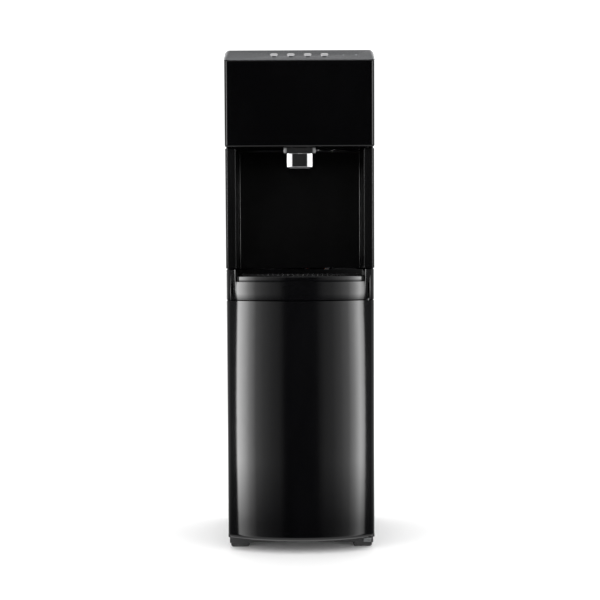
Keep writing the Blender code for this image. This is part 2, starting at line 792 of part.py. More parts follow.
def make_deck():
    angle = edge_angle()
    bow = bow_arc(bow_radius() * sin(radians(angle)))
    left = arc(-pivot_x, pivot_y, DOOR_EDGE_RADIUS, 180, 270 - angle, 5)
    right = arc(pivot_x, pivot_y, DOOR_EDGE_RADIUS, 270 + angle, 360, 5)
    outline = [(-deck_half, shell_back), (-deck_half, moulding_back), (-half, moulding_back)]
    outline += left + bow[1:-1] + right
    outline += [(half, moulding_back), (deck_half, moulding_back), (deck_half, shell_back)]
    deck = prism("tray_deck", outline, band_bottom, seam_height(column_top), "gloss_black")
    smooth(deck)

    pocket_x = tray_half() + GAP
    cut(deck, box("tray_pocket", (-pocket_x, pocket_x), (front - 0.05, tray_back() + GAP),
                  (deck_top, column_top + 0.05)))
    inner_x = deck_half - BAND_WALL
    span = inner_x - 0.004
    turn_y = bow_y(span, BAND_WALL) + 0.006
    inner = [(-inner_x, shell_back + 0.01), (-inner_x, turn_y)] + bow_arc(span, BAND_WALL)
    inner += [(inner_x, turn_y), (inner_x, shell_back + 0.01)]
    cut(deck, prism("deck_hollow", inner, band_bottom - 0.01, deck_top - BAND_WALL))
    for side in (-1, 1):
        near = side * (pocket_x + BAND_WALL)
        far = side * (inner_x)
        cut(deck, box("column_hollow", sorted((near, far)), (pivot_y + 0.004, shell_back - BAND_WALL),
                      (deck_top - 0.006, column_top - SEAM_DROP - BAND_WALL)))


def make_tray():
    width = tray_half()
    low = deck_top + GAP
    high = low + TRAY_HEIGHT
    back = tray_back()
    edge = bow_arc(width - 0.005, 0.0005, 16)
    outline = ([(-width, back), (-width, edge[0][1] + 0.006)] + edge
               + [(width, edge[-1][1] + 0.006), (width, back)])
    tray = prism("drip_tray", outline, low, high, "gloss_black")

    def lip_edges(a, b):
        flat = abs(a.z - b.z) < 0.0001
        return flat and max(a.y, b.y) < edge[0][1] + 0.0061

    bevel_some(tray, lip_edges, 0.0018, 3)
    smooth(tray)

    recess_front = edge[0][1] + 0.004
    recess_x = width - TRAY_RIM
    recess_back = back - 0.005
    recess_low = high - GRILLE_THICKNESS - 0.0008
    cut(tray, box("grille_seat", (-recess_x, recess_x), (recess_front, recess_back),
                  (recess_low, high + 0.02)))
    ledge = GRILLE_LEDGE
    cut(tray, box("tray_bowl", (-recess_x + ledge, recess_x - ledge),
                  (recess_front + ledge, recess_back - ledge),
                  (low + TRAY_FLOOR, high + 0.02)))

    grille_x = recess_x - 0.0006
    rows_low = recess_front + 0.0006
    rows_high = recess_back - 0.0006
    columns = [-grille_x]
    holes = set()
    start = -SLOT_PITCH * (SLOT_COLUMNS - 1) / 2
    for i in range(SLOT_COLUMNS):
        middle = start + i * SLOT_PITCH
        columns += [middle - SLOT_WIDTH / 2, middle + SLOT_WIDTH / 2]
        for j in range(SLOT_ROWS):
            holes.add((2 * i + 1, 2 * j + 1))
    columns.append(grille_x)
    rows = [rows_low]
    length = (rows_high - rows_low - 0.012) / SLOT_ROWS
    for j in range(SLOT_ROWS):
        base = rows_low + 0.006 + j * length
        rows += [base + 0.003, base + length - 0.003]
    rows.append(rows_high)
    bottom = recess_low + GAP
    lattice("tray_grille", columns, rows, holes, bottom, bottom + GRILLE_THICKNESS, "matte_black")


# ---- niche ----

def make_niche():
    cheek_x = tray_half() - 0.002
    corners = [(-half, moulding_back), (-half, cheek_front), (-cheek_x, cheek_front), (-cheek_x, niche_back),
               (cheek_x, niche_back), (cheek_x, cheek_front), (half, cheek_front), (half, moulding_back)]
    radii = [0, CHEEK_CORNER, CHEEK_EDGE, NICHE_CORNER, NICHE_CORNER, CHEEK_EDGE, CHEEK_CORNER, 0]
    path = rounded_path(corners, radii, 5)
    wall("niche_shell", path, MOULDING_WALL, seam_height(shell_bottom), shell_top, "gloss_black")

    ceiling_x = deck_half
    ceiling = box("niche_ceiling", (-ceiling_x, ceiling_x), (head_front + FASCIA_LIP + GAP, shell_back),
                  (head_bottom, ceiling_top), "gloss_black")
    hole = prism("shank_hole", [point[:2] for point in
                                rounded_rect(SHANK_SIZE[0] + 2 * FIT, SHANK_SIZE[1] + 2 * FIT, 0.006, 0, 0,
                                             NOZZLE_Y)],
                 head_bottom - 0.01, ceiling_top + 0.01)
    cut(ceiling, hole)


# ---- head ----

def make_head():
    fascia = box("head_fascia", (-half, half), (head_front, moulding_back), (head_bottom, fascia_top),
                 "gloss_black")

    def upright_front(a, b):
        return abs(a.z - b.z) > 0.01 and max(a.y, b.y) < head_front + 0.0001

    def bottom_rim(a, b):
        return max(a.z, b.z) < head_bottom + 0.0001 and min(a.y, b.y) < moulding_back - 0.001

    bevel_some(fascia, upright_front, HEAD_CORNER, 5)
    bevel_some(fascia, bottom_rim, 0.002, 2)
    smooth(fascia)
    inner_x = half - MOULDING_WALL
    cut(fascia, box("fascia_hollow", (-inner_x + 0.0045, inner_x - 0.0045),
                    (head_front + MOULDING_WALL, moulding_back + 0.01), (ceiling_top, fascia_top + 0.01)))
    cut(fascia, box("fascia_mouth", (-deck_half - GAP, deck_half + GAP),
                    (head_front + FASCIA_LIP, moulding_back + 0.01),
                    (head_bottom - 0.01, ceiling_top + 0.01)))
    make_strip()

    cover = box("top_cover", (-half, half), (strip_back + GAP, body_back), (strip_bottom, cabinet_top),
                "gloss_black")
    bevel_some(cover, shoulder, SHOULDER_RADIUS, 5)
    smooth(cover)
    inner_x = half - SHOULDER_RADIUS
    cut(cover, box("cover_hollow", (-inner_x, inner_x),
                   (strip_back + GAP + MOULDING_WALL, body_back - MOULDING_WALL),
                   (strip_bottom - 0.01, cabinet_top - MOULDING_WALL)))


def under_strip(y):
    """Height of the inside of the control strip's sloping wall."""
    return strip_bottom + STRIP_LIP + (y - head_front) * tan(slope) - MOULDING_WALL / cos(slope)


def shoulder(a, b):
    """The long top edges at both sides of the top cover and of the control strip."""
    outside = min(abs(a.x), abs(b.x)) > half - 0.0001
    return outside and max(a.z, b.z) > cabinet_top - 0.0001 and abs(a.y - b.y) > 0.01


def make_strip():
    profile = [(head_front, strip_bottom), (strip_back, strip_bottom), (strip_back, cabinet_top),
               (head_front, strip_bottom + STRIP_LIP)]
    rings = [[(x, y, z) for y, z in profile] for x in (-half, half)]
    strip = loft("control_strip", rings, "strip_grey")
    bevel_some(strip, shoulder, SHOULDER_RADIUS, 5)
    smooth(strip)
    inner_x = half - SHOULDER_RADIUS
    near = head_front + 0.006
    far = strip_back - MOULDING_WALL
    inner = [(near, strip_bottom - 0.01), (far, strip_bottom - 0.01), (far, under_strip(far)),
             (near, under_strip(near))]
    cut(strip, loft("strip_hollow", [[(x, y, z) for y, z in inner] for x in (-inner_x, inner_x)]))

    for i in range(4):
        x = (i - 1.5) * BUTTON_PITCH
        hole = box("button_hole", (-BUTTON_SIZE[0] / 2 - FIT, BUTTON_SIZE[0] / 2 + FIT),
                   (-BUTTON_SIZE[1] / 2 - FIT, BUTTON_SIZE[1] / 2 + FIT), (-0.01, 0.01))
        hole.location = on_slope(x, BUTTON_ROW, 0.0)
        hole.rotation_euler = (slope, 0, 0)
        cut(strip, hole)
        make_button("button_%d" % (i + 1), x)
    for i, x in enumerate(LENS_PLACES):
        hole = cylinder("lens_hole", LENS_RADIUS + FIT, 0.02, on_slope(x, BUTTON_ROW, 0.0), count=16)
        hole.rotation_euler = (slope, 0, 0)
        cut(strip, hole)
        profile = [(0.0026, -0.0060), (0.0026, -0.0029), (LENS_RADIUS, -0.0029), (LENS_RADIUS, 0.0003)]
        lens = turned("indicator_lens_%d" % (i + 1), profile, "lens", 16,
                      location=on_slope(x, BUTTON_ROW, 0.0))
        lens.rotation_euler = (slope, 0, 0)
    make_board()


def button_levels():
    """Heights over the strip's face: the flange's bottom and top, and the cap's top."""
    flange_top = -MOULDING_WALL - GAP
    return flange_top - BUTTON_FLANGE, flange_top, BUTTON_PROUD


def make_button(name, x):
    low, middle, high = button_levels()
    width, depth = BUTTON_SIZE
    rings = [rounded_rect(width + 0.003, depth + 0.003, 0.002, low, steps=3),
             rounded_rect(width + 0.003, depth + 0.003, 0.002, middle - 0.0004, steps=3),
             rounded_rect(width, depth, 0.002, middle - 0.0004, steps=3),
             rounded_rect(width, depth, 0.002, high - 0.0006, steps=3),
             rounded_rect(width - 0.0012, depth - 0.0012, 0.0014, high, steps=3)]
    button = smooth(loft(name, rings, "chrome"))
    button.location = on_slope(x, BUTTON_ROW, 0.0)
    button.rotation_euler = (slope, 0, 0)


def make_board():
    """The control board, with one key under each button."""
    width, depth, thick = BOARD_SIZE
    board = box("control_board", (-width / 2, width / 2), (-depth / 2, depth / 2), (-thick, 0), "board_green")
    board.location = on_slope(0.010, BUTTON_ROW, -BOARD_DROP - thick / 2)
    board.rotation_euler = (slope, 0, 0)
    key_top = button_levels()[0] - BUTTON_TRAVEL - GAP
    key_low = -BOARD_DROP - thick / 2
    for i in range(4):
        key = box("key", (-0.003, 0.003), (-0.003, 0.003), (key_low, key_top))
        key.location = on_slope((i - 1.5) * BUTTON_PITCH, BUTTON_ROW, (key_low + key_top) / 2)
        key.rotation_euler = (slope, 0, 0)
        join(board, key)


# ---- nozzle and valves ----

def make_nozzle():
    top = head_bottom - GAP
    low = top - COLLAR_HEIGHT
    width, depth = COLLAR_SIZE
    shank_w, shank_d = SHANK_SIZE
    rings = [rounded_rect(width, depth, 0.012, low), rounded_rect(width, depth, 0.012, top),
             rounded_rect(shank_w, shank_d, 0.006, top), rounded_rect(shank_w, shank_d, 0.006, ceiling_top)]
    collar = smooth(loft("nozzle_collar", rings, "chrome", location=(0, NOZZLE_Y, 0)))
    cut(collar, cylinder("collar_bore", OUTLET_RADIUS + FIT, 0.08, (0, NOZZLE_Y, low), count=20))

    spout_top = low - GAP
    spout_low = spout_top - SPOUT_HEIGHT
    width, depth = SPOUT_SIZE
    rings = [rounded_rect(width - 0.004, depth - 0.004, 0.008, spout_low),
             rounded_rect(width, depth, 0.010, spout_low + 0.002),
             rounded_rect(width, depth, 0.010, spout_top)]
    spout = smooth(loft("spout", rings, "chrome", location=(0, NOZZLE_Y, 0)))
    inside = [rounded_rect(width - 2 * SPOUT_WALL - 0.004, depth - 2 * SPOUT_WALL - 0.004, 0.0065, z)
              for z in (spout_low - 0.01, spout_top - SPOUT_WALL)]
    cut(spout, loft("spout_hollow", inside, location=(0, NOZZLE_Y, 0)))
    stem_top = head_bottom
    join(spout, cylinder("spout_stem", OUTLET_RADIUS, stem_top - spout_top + 0.001,
                         (0, NOZZLE_Y, (stem_top + spout_top - 0.001) / 2), count=20))
    cut(spout, cylinder("spout_bore", OUTLET_RADIUS - 0.0015, 0.1, (0, NOZZLE_Y, spout_top), count=20))

    make_manifold()


def manifold_back():
    return NOZZLE_Y - 0.010 + MANIFOLD_SIZE[1]


def make_manifold():
    width, depth, height = MANIFOLD_SIZE
    low = ceiling_top + GAP
    y_low = NOZZLE_Y - 0.010
    block = box("outlet_manifold", (-width / 2, width / 2), (y_low, manifold_back()), (low, low + height),
                "white_plastic")
    bevel(block, 0.0008, 1)
    middle = low + height / 2
    cut(block, cylinder("channel_down", 0.0040, height / 2 + 0.01, (0, NOZZLE_Y, middle - height / 4 - 0.005),
                        count=12))
    cut(block, cylinder("channel_across", 0.0030, 2 * VALVE_PITCH + 0.008,
                        (0, manifold_back() - 0.014, middle),
                        "X", 12))
    cut(block, cylinder("channel_front", 0.0030, manifold_back() - 0.014 - NOZZLE_Y,
                        (0, (manifold_back() - 0.014 + NOZZLE_Y) / 2, middle), "Y", 12))
    for side, name in ((-1, "valve_cold"), (1, "valve_hot")):
        x = side * VALVE_PITCH
        cut(block, cylinder("channel_in", 0.0030, 0.030, (x, manifold_back(), middle), "Y", 12))
        make_valve(name, x, low)


def valve_y():
    return manifold_back() + GAP + VALVE_SIZE[1] / 2


def make_valve(name, x, low):
    width, depth, height = VALVE_SIZE
    rings = [rounded_rect(width, depth, 0.003, low), rounded_rect(width, depth, 0.003, low + height),
             circle(COIL_RADIUS, low + height), circle(COIL_RADIUS, low + height + COIL_HEIGHT),
             circle(COIL_RADIUS - 0.002, low + height + COIL_HEIGHT + 0.002)]
    smooth(loft(name, rings, "white_plastic", location=(x, valve_y(), 0)))


# ---- water and cooling ----

def make_tank(name, x, radius, height, base, finish, bottom_port, belt=0.0):
    """A vessel with two ports in its top, one in its bottom where wanted, and a heater belt where wanted."""
    high = base + height
    outer = [(radius - 0.008, base), (radius, base + 0.008), (radius, high - 0.008), (radius - 0.008, high)]
    if belt:
        low = base + 0.014
        outer[2:2] = [(radius, low), (radius + belt, low), (radius + belt, low + HEATER_HEIGHT),
                      (radius, low + HEATER_HEIGHT)]
    tank = turned(name, outer, finish, 28, location=(x, machine_y, 0))
    thin = TANK_WALL
    inner = [(radius - 0.008 - thin, base + thin), (radius - thin, base + 0.008 + thin / 2),
             (radius - thin, high - 0.008 - thin / 2), (radius - 0.008 - thin, high - thin)]
    cut(tank, turned(name + "_inside", inner, count=28, location=(x, machine_y, 0)))
    ports = [(-PORT_OFFSET, high + PORT_LENGTH / 2), (PORT_OFFSET, high + PORT_LENGTH / 2)]
    if bottom_port:
        ports.append((0.0, base - PORT_LENGTH / 2))
    for shift, z in ports:
        root = -0.0004 if z > base else 0.0004
        place = (x, machine_y + shift, z + root)
        join(tank, cylinder(name + "_port", PORT_RADIUS, PORT_LENGTH + 0.0008, place, count=16))
    for shift, z in ports:
        place = (x, machine_y + shift, z)
        cut(tank, cylinder(name + "_bore", PORT_BORE, PORT_LENGTH + 0.012, place, count=16))


def make_jacket(x, low, high):
    """An insulating cup round the cold tank, with a hole for the drain port."""
    outer = cold_jacket_radius()
    inner = outer - FOAM
    hole = PORT_RADIUS + PORT_CLEARANCE
    floor = low + FOAM_BASE - GAP
    profile = [(outer, low), (outer, high), (inner, high), (inner, floor), (hole, floor), (hole, low)]
    turned("cold_jacket", profile, "foam", 28, True, (x, machine_y, 0))


def make_water_system():
    base = tank_shelf_top + GAP + FOAM_BASE
    x = cold_x()
    make_tank("cold_tank", x, COLD_TANK_RADIUS, COLD_TANK_HEIGHT, base, "steel", True)
    make_jacket(x, tank_shelf_top + GAP, base + COLD_TANK_HEIGHT)
    make_evaporator(x, base)

    x = hot_x()
    make_tank("hot_tank", x, HOT_TANK_RADIUS, HOT_TANK_HEIGHT, base, "steel", False, HEATER_THICKNESS)

    make_pump()
    make_hoses()


def make_evaporator(x, base):
    """Cooling tube wound round the cold tank."""
    radius = COLD_TANK_RADIUS + COOLING_TUBE_RADIUS + 0.0008
    steps = 16
    rise = (COLD_TANK_HEIGHT - 0.050) / COOLING_TURNS
    points = []
    for i in range(COOLING_TURNS * steps + 1):
        turn = 2 * pi * i / steps
        points.append((x + radius * cos(turn), machine_y + radius * sin(turn),
                       base + 0.025 + rise * i / steps))
    pipe("evaporator_coil", points, COOLING_TUBE_RADIUS - 0.0004, "copper", 5)


def pump_place():
    return hot_x() + 0.008, shell_back + 0.030


def make_pump():
    x, y = pump_place()
    width, height, length = PUMP_HEAD
    rings = [rounded_rect(width, height, 0.006, 0.0), rounded_rect(width, height, 0.006, length),
             circle(PUMP_RADIUS, length), circle(PUMP_RADIUS, length + PUMP_LENGTH - 0.003),
             circle(PUMP_RADIUS - 0.003, length + PUMP_LENGTH)]
    z = mid_shelf_top + GAP + height / 2
    pump = smooth(loft("pump", rings, "matte_black", location=(x, shell_back + 0.004, z)))
    turn_to(pump, "Y")
    for side in (-1, 1):
        barb = cylinder("pump_barb", PORT_RADIUS, 0.012,
                        (x + side * 0.014, y - 0.010, z + height / 2 + 0.004),
                        count=12)
        join(pump, barb)


def make_hoses():
    """Hoses between the probe, the pump, the tanks and the valves."""
    pump_x, pump_y = pump_place()
    barb_top = mid_shelf_top + GAP + PUMP_HEAD[1] + 0.010 + GAP
    y = pump_y - 0.010
    radius = HOSE_RADIUS
    probe_top = pan_top + PROBE_BASE + PROBE_LENGTH + 0.012 + GAP
    low = mid_shelf_top + 0.009
    points = [(PROBE_X, PROBE_Y, probe_top), (PROBE_X, PROBE_Y, mid_shelf_top - 0.004),
              (PROBE_X + 0.004, PROBE_Y + 0.003, low - 0.002),
              (PROBE_X + 0.018, PROBE_Y + 0.012, low + 0.002),
              (PROBE_X + 0.080, PROBE_Y + 0.040, low),
              (0.030, shell_back - 0.008, low), (0.045, shell_back + 0.022, low + 0.012),
              (pump_x - 0.034, y + 0.002, low + 0.045), (pump_x - 0.014, y, barb_top + 0.012),
              (pump_x - 0.014, y, barb_top)]
    tube("supply_hose", points, radius, "silicone", 4)

    cold_top = tank_shelf_top + GAP + FOAM_BASE + COLD_TANK_HEIGHT + PORT_LENGTH + GAP
    hot_top = tank_shelf_top + GAP + FOAM_BASE + HOT_TANK_HEIGHT + PORT_LENGTH + GAP
    rx, ry = riser_x(), riser_y()
    points = [(pump_x + 0.014, y, barb_top), (pump_x + 0.014, y, barb_top + 0.008),
              (pump_x + 0.012, y + 0.006, barb_top + 0.024),
              (pump_x - 0.020, y + 0.050, barb_top + 0.060), (rx + 0.010, ry - 0.010, tank_shelf_top - 0.060),
              (rx, ry, tank_shelf_top - 0.015), (rx, ry, tank_shelf_top + 0.120),
              (rx - 0.004, ry - 0.004, cold_top), (rx - 0.020, ry - 0.014, cold_top + 0.016),
              (cold_x() + 0.018, machine_y + PORT_OFFSET, cold_top + 0.020),
              (cold_x(), machine_y + PORT_OFFSET, cold_top + 0.008),
              (cold_x(), machine_y + PORT_OFFSET, cold_top)]
    tube("fill_hose", points, radius, "silicone", 4)

    back = valve_y() + VALVE_SIZE[1] / 2 + GAP
    z = ceiling_top + 0.012
    points = [(cold_x(), machine_y - PORT_OFFSET, cold_top),
              (cold_x(), machine_y - PORT_OFFSET, cold_top + 0.010),
              (cold_x() + 0.004, machine_y - PORT_OFFSET - 0.020, cold_top + 0.020),
              (-VALVE_PITCH - 0.012, back + 0.040, z + 0.045), (-VALVE_PITCH, back + 0.020, z + 0.004),
              (-VALVE_PITCH, back + 0.010, z), (-VALVE_PITCH, back, z)]
    tube("cold_hose", points, radius, "silicone", 4)

    points = [(hot_x(), machine_y - PORT_OFFSET, hot_top),
              (hot_x(), machine_y - PORT_OFFSET, hot_top + 0.010),
              (hot_x() - 0.004, machine_y - PORT_OFFSET - 0.018, hot_top + 0.022),
              (VALVE_PITCH + 0.014, back + 0.040, z + 0.045), (VALVE_PITCH, back + 0.020, z + 0.004),
              (VALVE_PITCH, back + 0.010, z), (VALVE_PITCH, back, z)]
    tube("hot_hose", points, radius, "silicone", 4)

    drain_x, drain_z = drain_place()
    port_low = tank_shelf_top + GAP + FOAM_BASE - PORT_LENGTH - GAP
    points = [(cold_x(), machine_y, port_low), (cold_x(), machine_y, port_low - 0.006),
              (cold_x() + 0.012, machine_y + 0.004, port_low - 0.014),
              (drain_x - 0.022, machine_y + 0.010, port_low - 0.018),
              (drain_x - 0.002, machine_y + 0.012, port_low - 0.045),
              (drain_x, machine_y + 0.006, drain_z + 0.040),
              (drain_x, machine_y + 0.004, drain_z + 0.014),
              (drain_x, drain_start() - 0.008, drain_z + 0.001),
              (drain_x, drain_start() - GAP, drain_z)]
    tube("drain_hose", points, radius, "silicone", 4)


def drain_start():
    return panel_back - 0.060


def make_compressor():
    width, depth, thick = COMPRESSOR_PLATE
    x = -(panel_inside - SIDE_CLEARANCE - width / 2)
    base = mid_shelf_top + GAP
    low = base
    rings = [rounded_rect(width, depth, 0.012, low, steps=6),
             rounded_rect(width, depth, 0.012, low + thick, steps=6)]
    radius = COMPRESSOR_RADIUS
    r_low = low + thick
    seam = r_low + COMPRESSOR_HEIGHT * 0.5
    for r, z in ((radius * 0.80, r_low), (radius * 0.93, r_low + 0.010), (radius, r_low + 0.028),
                 (radius, seam),
                 (radius + 0.003, seam + 0.001), (radius + 0.003, seam + 0.005), (radius, seam + 0.006),
                 (radius, r_low + COMPRESSOR_HEIGHT - 0.035),
                 (radius * 0.88, r_low + COMPRESSOR_HEIGHT - 0.012),
                 (radius * 0.55, r_low + COMPRESSOR_HEIGHT)):
        rings.append(circle(r, z, 28))
    smooth(loft("compressor", rings, "matte_black", location=(x, machine_y, 0)))


# ---- bottle probe ----

def make_probe():
    low = pan_top + PROBE_BASE
    high = low + PROBE_LENGTH
    r = PROBE_RADIUS
    profile = [(0.0040, low - 0.004), (r + 0.0015, low), (r + 0.0015, low + 0.018), (r, low + 0.020),
               (r, high - 0.020), (PROBE_CAP_RADIUS, high - 0.018), (PROBE_CAP_RADIUS, high - 0.004),
               (PROBE_CAP_RADIUS - 0.004, high), (0.0075, high), (0.0045, high + 0.004),
               (0.0045, high + 0.012)]
    turned("bottle_probe", profile, "white_plastic", 20, location=(PROBE_X, PROBE_Y, 0))
    level = low + PROBE_LENGTH * 0.55
    clip = box("probe_clip", (-bay_half + GAP, PROBE_X + 0.004), (PROBE_Y - 0.011, PROBE_Y + 0.011),
               (level, level + 0.018), "white_plastic")
    bevel(clip, 0.001, 1)
    cut(clip, cylinder("clip_bore", r + FIT, 0.06, (PROBE_X, PROBE_Y, level), count=20))


# ---- rear side ----

def make_rear():
    make_condenser()
    make_inlet()
    make_switches()
    make_drain()


def condenser_low():
    return inlet_place()[1] + 0.055


def make_condenser():
    low = condenser_low()
    y = body_back + 0.004 + CONDENSER_TUBE
    reach = CONDENSER_WIDTH / 2 - CONDENSER_PITCH / 2
    points = [(-reach, y, low)]
    for run in range(CONDENSER_RUNS):
        side = 1 if run % 2 == 0 else -1
        z = low + run * CONDENSER_PITCH
        points.append((side * reach, y, z))
        if run < CONDENSER_RUNS - 1:
            for k in range(1, 5):
                a = radians(-90 + 36 * k)
                turn = CONDENSER_PITCH / 2
                points.append((side * (reach + turn * cos(a)), y, z + turn + turn * sin(a)))
            points.append((side * reach, y, z + CONDENSER_PITCH))
    pipe("condenser_coil", points, CONDENSER_TUBE, "matte_black", 6)

    count = int(CONDENSER_WIDTH / WIRE_PITCH)
    start = -WIRE_PITCH * (count - 1) / 2
    columns = []
    for i in range(count):
        middle = start + i * WIRE_PITCH
        columns += [middle - WIRE / 2, middle + WIRE / 2]
    high = low + (CONDENSER_RUNS - 1) * CONDENSER_PITCH
    bars = (low - 0.006, (low + high) / 2, high + 0.006)
    rows = []
    for level in bars:
        rows += [level - WIRE / 2, level + WIRE / 2]
    holes = {(2 * i + 1, 2 * j + 1) for i in range(count - 1) for j in range(len(bars) - 1)}
    near = y + CONDENSER_TUBE + GAP
    # The lattice is made lying down, then stood up, which turns its height into -Y.
    lattice("condenser_wires", columns, rows, holes, -near - WIRE, -near, "matte_black", True)

    span = (low - 0.012, high + 0.012)
    for side, name in ((-1, "wall_spacer_left"), (1, "wall_spacer_right")):
        inner = side * (CONDENSER_WIDTH / 2 + 0.006)
        outer = side * (CONDENSER_WIDTH / 2 + 0.016)
        spacer = box(name, sorted((inner, outer)), (body_back + GAP, rear), span, "matte_black")
        bevel(spacer, 0.0015, 1)


def make_inlet():
    x, z = inlet_place()
    width, height = INLET_SIZE
    outside = body_back + GAP
    rings = [rounded_rect(width, height, 0.003, -0.018, steps=2),
             rounded_rect(width, height, 0.003, 0, steps=2),
             rounded_rect(width + 0.010, height + 0.006, 0.004, 0, steps=2),
             rounded_rect(width + 0.010, height + 0.006, 0.004, 0.002, steps=2)]
    inlet = loft("power_inlet", rings, "matte_black", location=(x, outside, z))
    turn_to(inlet, "Y")
    cut(inlet, box("inlet_socket", (x - 0.012, x + 0.012), (outside - 0.014, outside + 0.01),
                   (z - 0.009, z + 0.009)))
    for shift, drop in ((-0.007, -0.002), (0.0, 0.002), (0.007, -0.002)):
        pin = box("inlet_pin", (x + shift - 0.001, x + shift + 0.001), (outside - 0.0145, outside - 0.001),
                  (z + drop - 0.0015, z + drop + 0.0015))
        join(inlet, pin)


def make_switches():
    x, z = switch_place()
    width, height = SWITCH_FRAME
    outside = body_back + GAP
    rings = [rounded_rect(width - 0.006, height - 0.006, 0.002, -0.016, steps=2),
             rounded_rect(width - 0.006, height - 0.006, 0.002, 0, steps=2),
             rounded_rect(width, height, 0.003, 0, steps=2),
             rounded_rect(width, height, 0.003, 0.0022, steps=2)]
    frame = loft("switch_frame", rings, "matte_black", location=(x, outside, z))
    turn_to(frame, "Y")
    pivot = outside - 0.0023
    across = ROCKER_SIZE[0] / 2
    shift = across + 0.0018
    cut(frame, cylinder("rocker_axle_hole", 0.0015, 2 * (shift + across) + 0.003, (x, pivot, z), "X", 12))
    for side, name in ((-1, "rocker_cold"), (1, "rocker_hot")):
        middle = x + side * shift
        cut(frame, box("rocker_window", (middle - across - FIT, middle + across + FIT),
                       (outside - 0.03, outside + 0.01),
                       (z - ROCKER_SIZE[1] / 2 - 0.0012, z + ROCKER_SIZE[1] / 2 + 0.0012)))
        make_rocker(name, middle, pivot, z)


def make_rocker(name, x, y, z):
    """A rocker switch at rest in its off position, tipped about its own axle."""
    tall = ROCKER_SIZE[1] / 2
    across = ROCKER_SIZE[0] / 2
    face = [(0.0068, -tall), (0.0052, 0), (0.0068, tall), (-0.0040, 0.6 * tall), (-0.0040, -0.6 * tall)]
    tilt = radians(-8)
    outline = [(a * cos(tilt) - b * sin(tilt), a * sin(tilt) + b * cos(tilt)) for a, b in face]
    rings = [[(side * across, a, b) for a, b in outline] for side in (-1, 1)]
    rocker = loft(name, rings, "gloss_black", location=(x, y, z))
    join(rocker, cylinder(name + "_axle", 0.0012, ROCKER_SIZE[0] + 0.0028, (x, y, z), "X", 12))


def make_drain():
    x, z = drain_place()
    start = drain_start() - body_back
    end = 0.011
    r = DRAIN_RADIUS
    profile = [(DRAIN_BORE, start), (r - 0.0015, start), (r - 0.0015, -0.030), (r, -0.028), (r, GAP),
               (0.0130, GAP), (0.0130, 0.0022), (r, 0.0022), (r, end), (DRAIN_BORE, end)]
    spout = turned("drain_spout", profile, "white_plastic", 20, True, (x, body_back, z))
    turn_to(spout, "Y")
    low = 0.0022 + GAP
    profile = [(r + GAP, low), (CAP_RADIUS, low), (CAP_RADIUS, end + 0.0032),
               (CAP_RADIUS - 0.0012, end + 0.0045)]
    cap = turned("drain_cap", profile, "matte_black", 20, location=(x, body_back, z))
    turn_to(cap, "Y")
    cut(cap, cylinder("cap_hollow", r + GAP, 2 * (end - low + GAP), (x, body_back + low, z), "Y", 20))


# ---- build ----

clear_scene()
make_base()
make_cabinet()
make_door()
make_deck()
make_tray()
make_niche()
make_head()
make_nozzle()
make_compressor()
make_water_system()
make_probe()
make_rear()
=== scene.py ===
from math import asin, atan2, cos, degrees, pi, radians, sin, sqrt

import bmesh
import bpy
from mathutils import Matrix, Vector


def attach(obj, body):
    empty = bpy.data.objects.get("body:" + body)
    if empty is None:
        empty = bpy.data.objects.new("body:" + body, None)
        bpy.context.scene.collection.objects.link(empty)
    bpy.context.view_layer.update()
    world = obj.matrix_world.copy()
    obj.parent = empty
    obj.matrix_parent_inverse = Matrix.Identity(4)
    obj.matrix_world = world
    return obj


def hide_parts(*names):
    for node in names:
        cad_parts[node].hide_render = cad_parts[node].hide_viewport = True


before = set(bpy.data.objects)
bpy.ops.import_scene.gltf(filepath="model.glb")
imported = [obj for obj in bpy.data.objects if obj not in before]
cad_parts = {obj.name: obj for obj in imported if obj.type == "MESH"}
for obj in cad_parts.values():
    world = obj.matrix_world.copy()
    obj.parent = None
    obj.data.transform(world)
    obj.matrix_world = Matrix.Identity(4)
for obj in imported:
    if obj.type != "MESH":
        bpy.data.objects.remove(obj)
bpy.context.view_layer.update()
print("frame loaded")

# the cabinet's main levels and faces, metres
cabinet = {
    "half": 0.154, "front": -0.180, "headFront": -0.165, "cheekFront": -0.152, "frameFront": -0.119,
    "bodyBack": 0.1615, "doorBottom": 0.025, "doorTop": 0.5255, "bandBottom": 0.5275, "deckTop": 0.5648,
    "columnTop": 0.590, "shellBottom": 0.593, "seamFall": 0.0045 / 0.137, "shellTop": 0.8395,
    "headBottom": 0.842, "headTop": 1.018, "stripBottom": 1.0183, "top": 1.043,
    "edgeRadius": 0.014, "nicheBack": -0.015, "clearance": 0.0003,
}
half = cabinet["half"]
clearance = cabinet["clearance"]
axisTurns = {"X": (0, pi / 2, 0), "Y": (pi / 2, 0, 0), "Z": (0, 0, 0)}
pivot = Vector((half - cabinet["edgeRadius"], -0.1345, 0.0))
bowRise = pivot.y - cabinet["front"]
bowRadius = (pivot.x ** 2 + bowRise ** 2 - cabinet["edgeRadius"] ** 2) / (2 * (bowRise - cabinet["edgeRadius"]))
bowCentre = cabinet["front"] + bowRadius
bowAngle = degrees(asin(pivot.x / (bowRadius - cabinet["edgeRadius"])))
print("bow radius %.4f, half angle %.2f" % (bowRadius, bowAngle))


# modelling helpers

def letGo():
    if bpy.context.object and bpy.context.object.mode != "OBJECT":
        bpy.ops.object.mode_set(mode="OBJECT")
    bpy.ops.object.select_all(action="DESELECT")


def hold(piece):
    letGo()
    piece.select_set(True)
    bpy.context.view_layer.objects.active = piece


def settle():
    bpy.ops.object.transform_apply(location=True, rotation=True, scale=True)


def newBox(name, x, y, z):
    letGo()
    middle = ((x[0] + x[1]) / 2, (y[0] + y[1]) / 2, (z[0] + z[1]) / 2)
    bpy.ops.mesh.primitive_cube_add(size=1, location=middle)
    piece = bpy.context.object
    piece.name = name
    piece.scale = (x[1] - x[0], y[1] - y[0], z[1] - z[0])
    settle()
    return piece


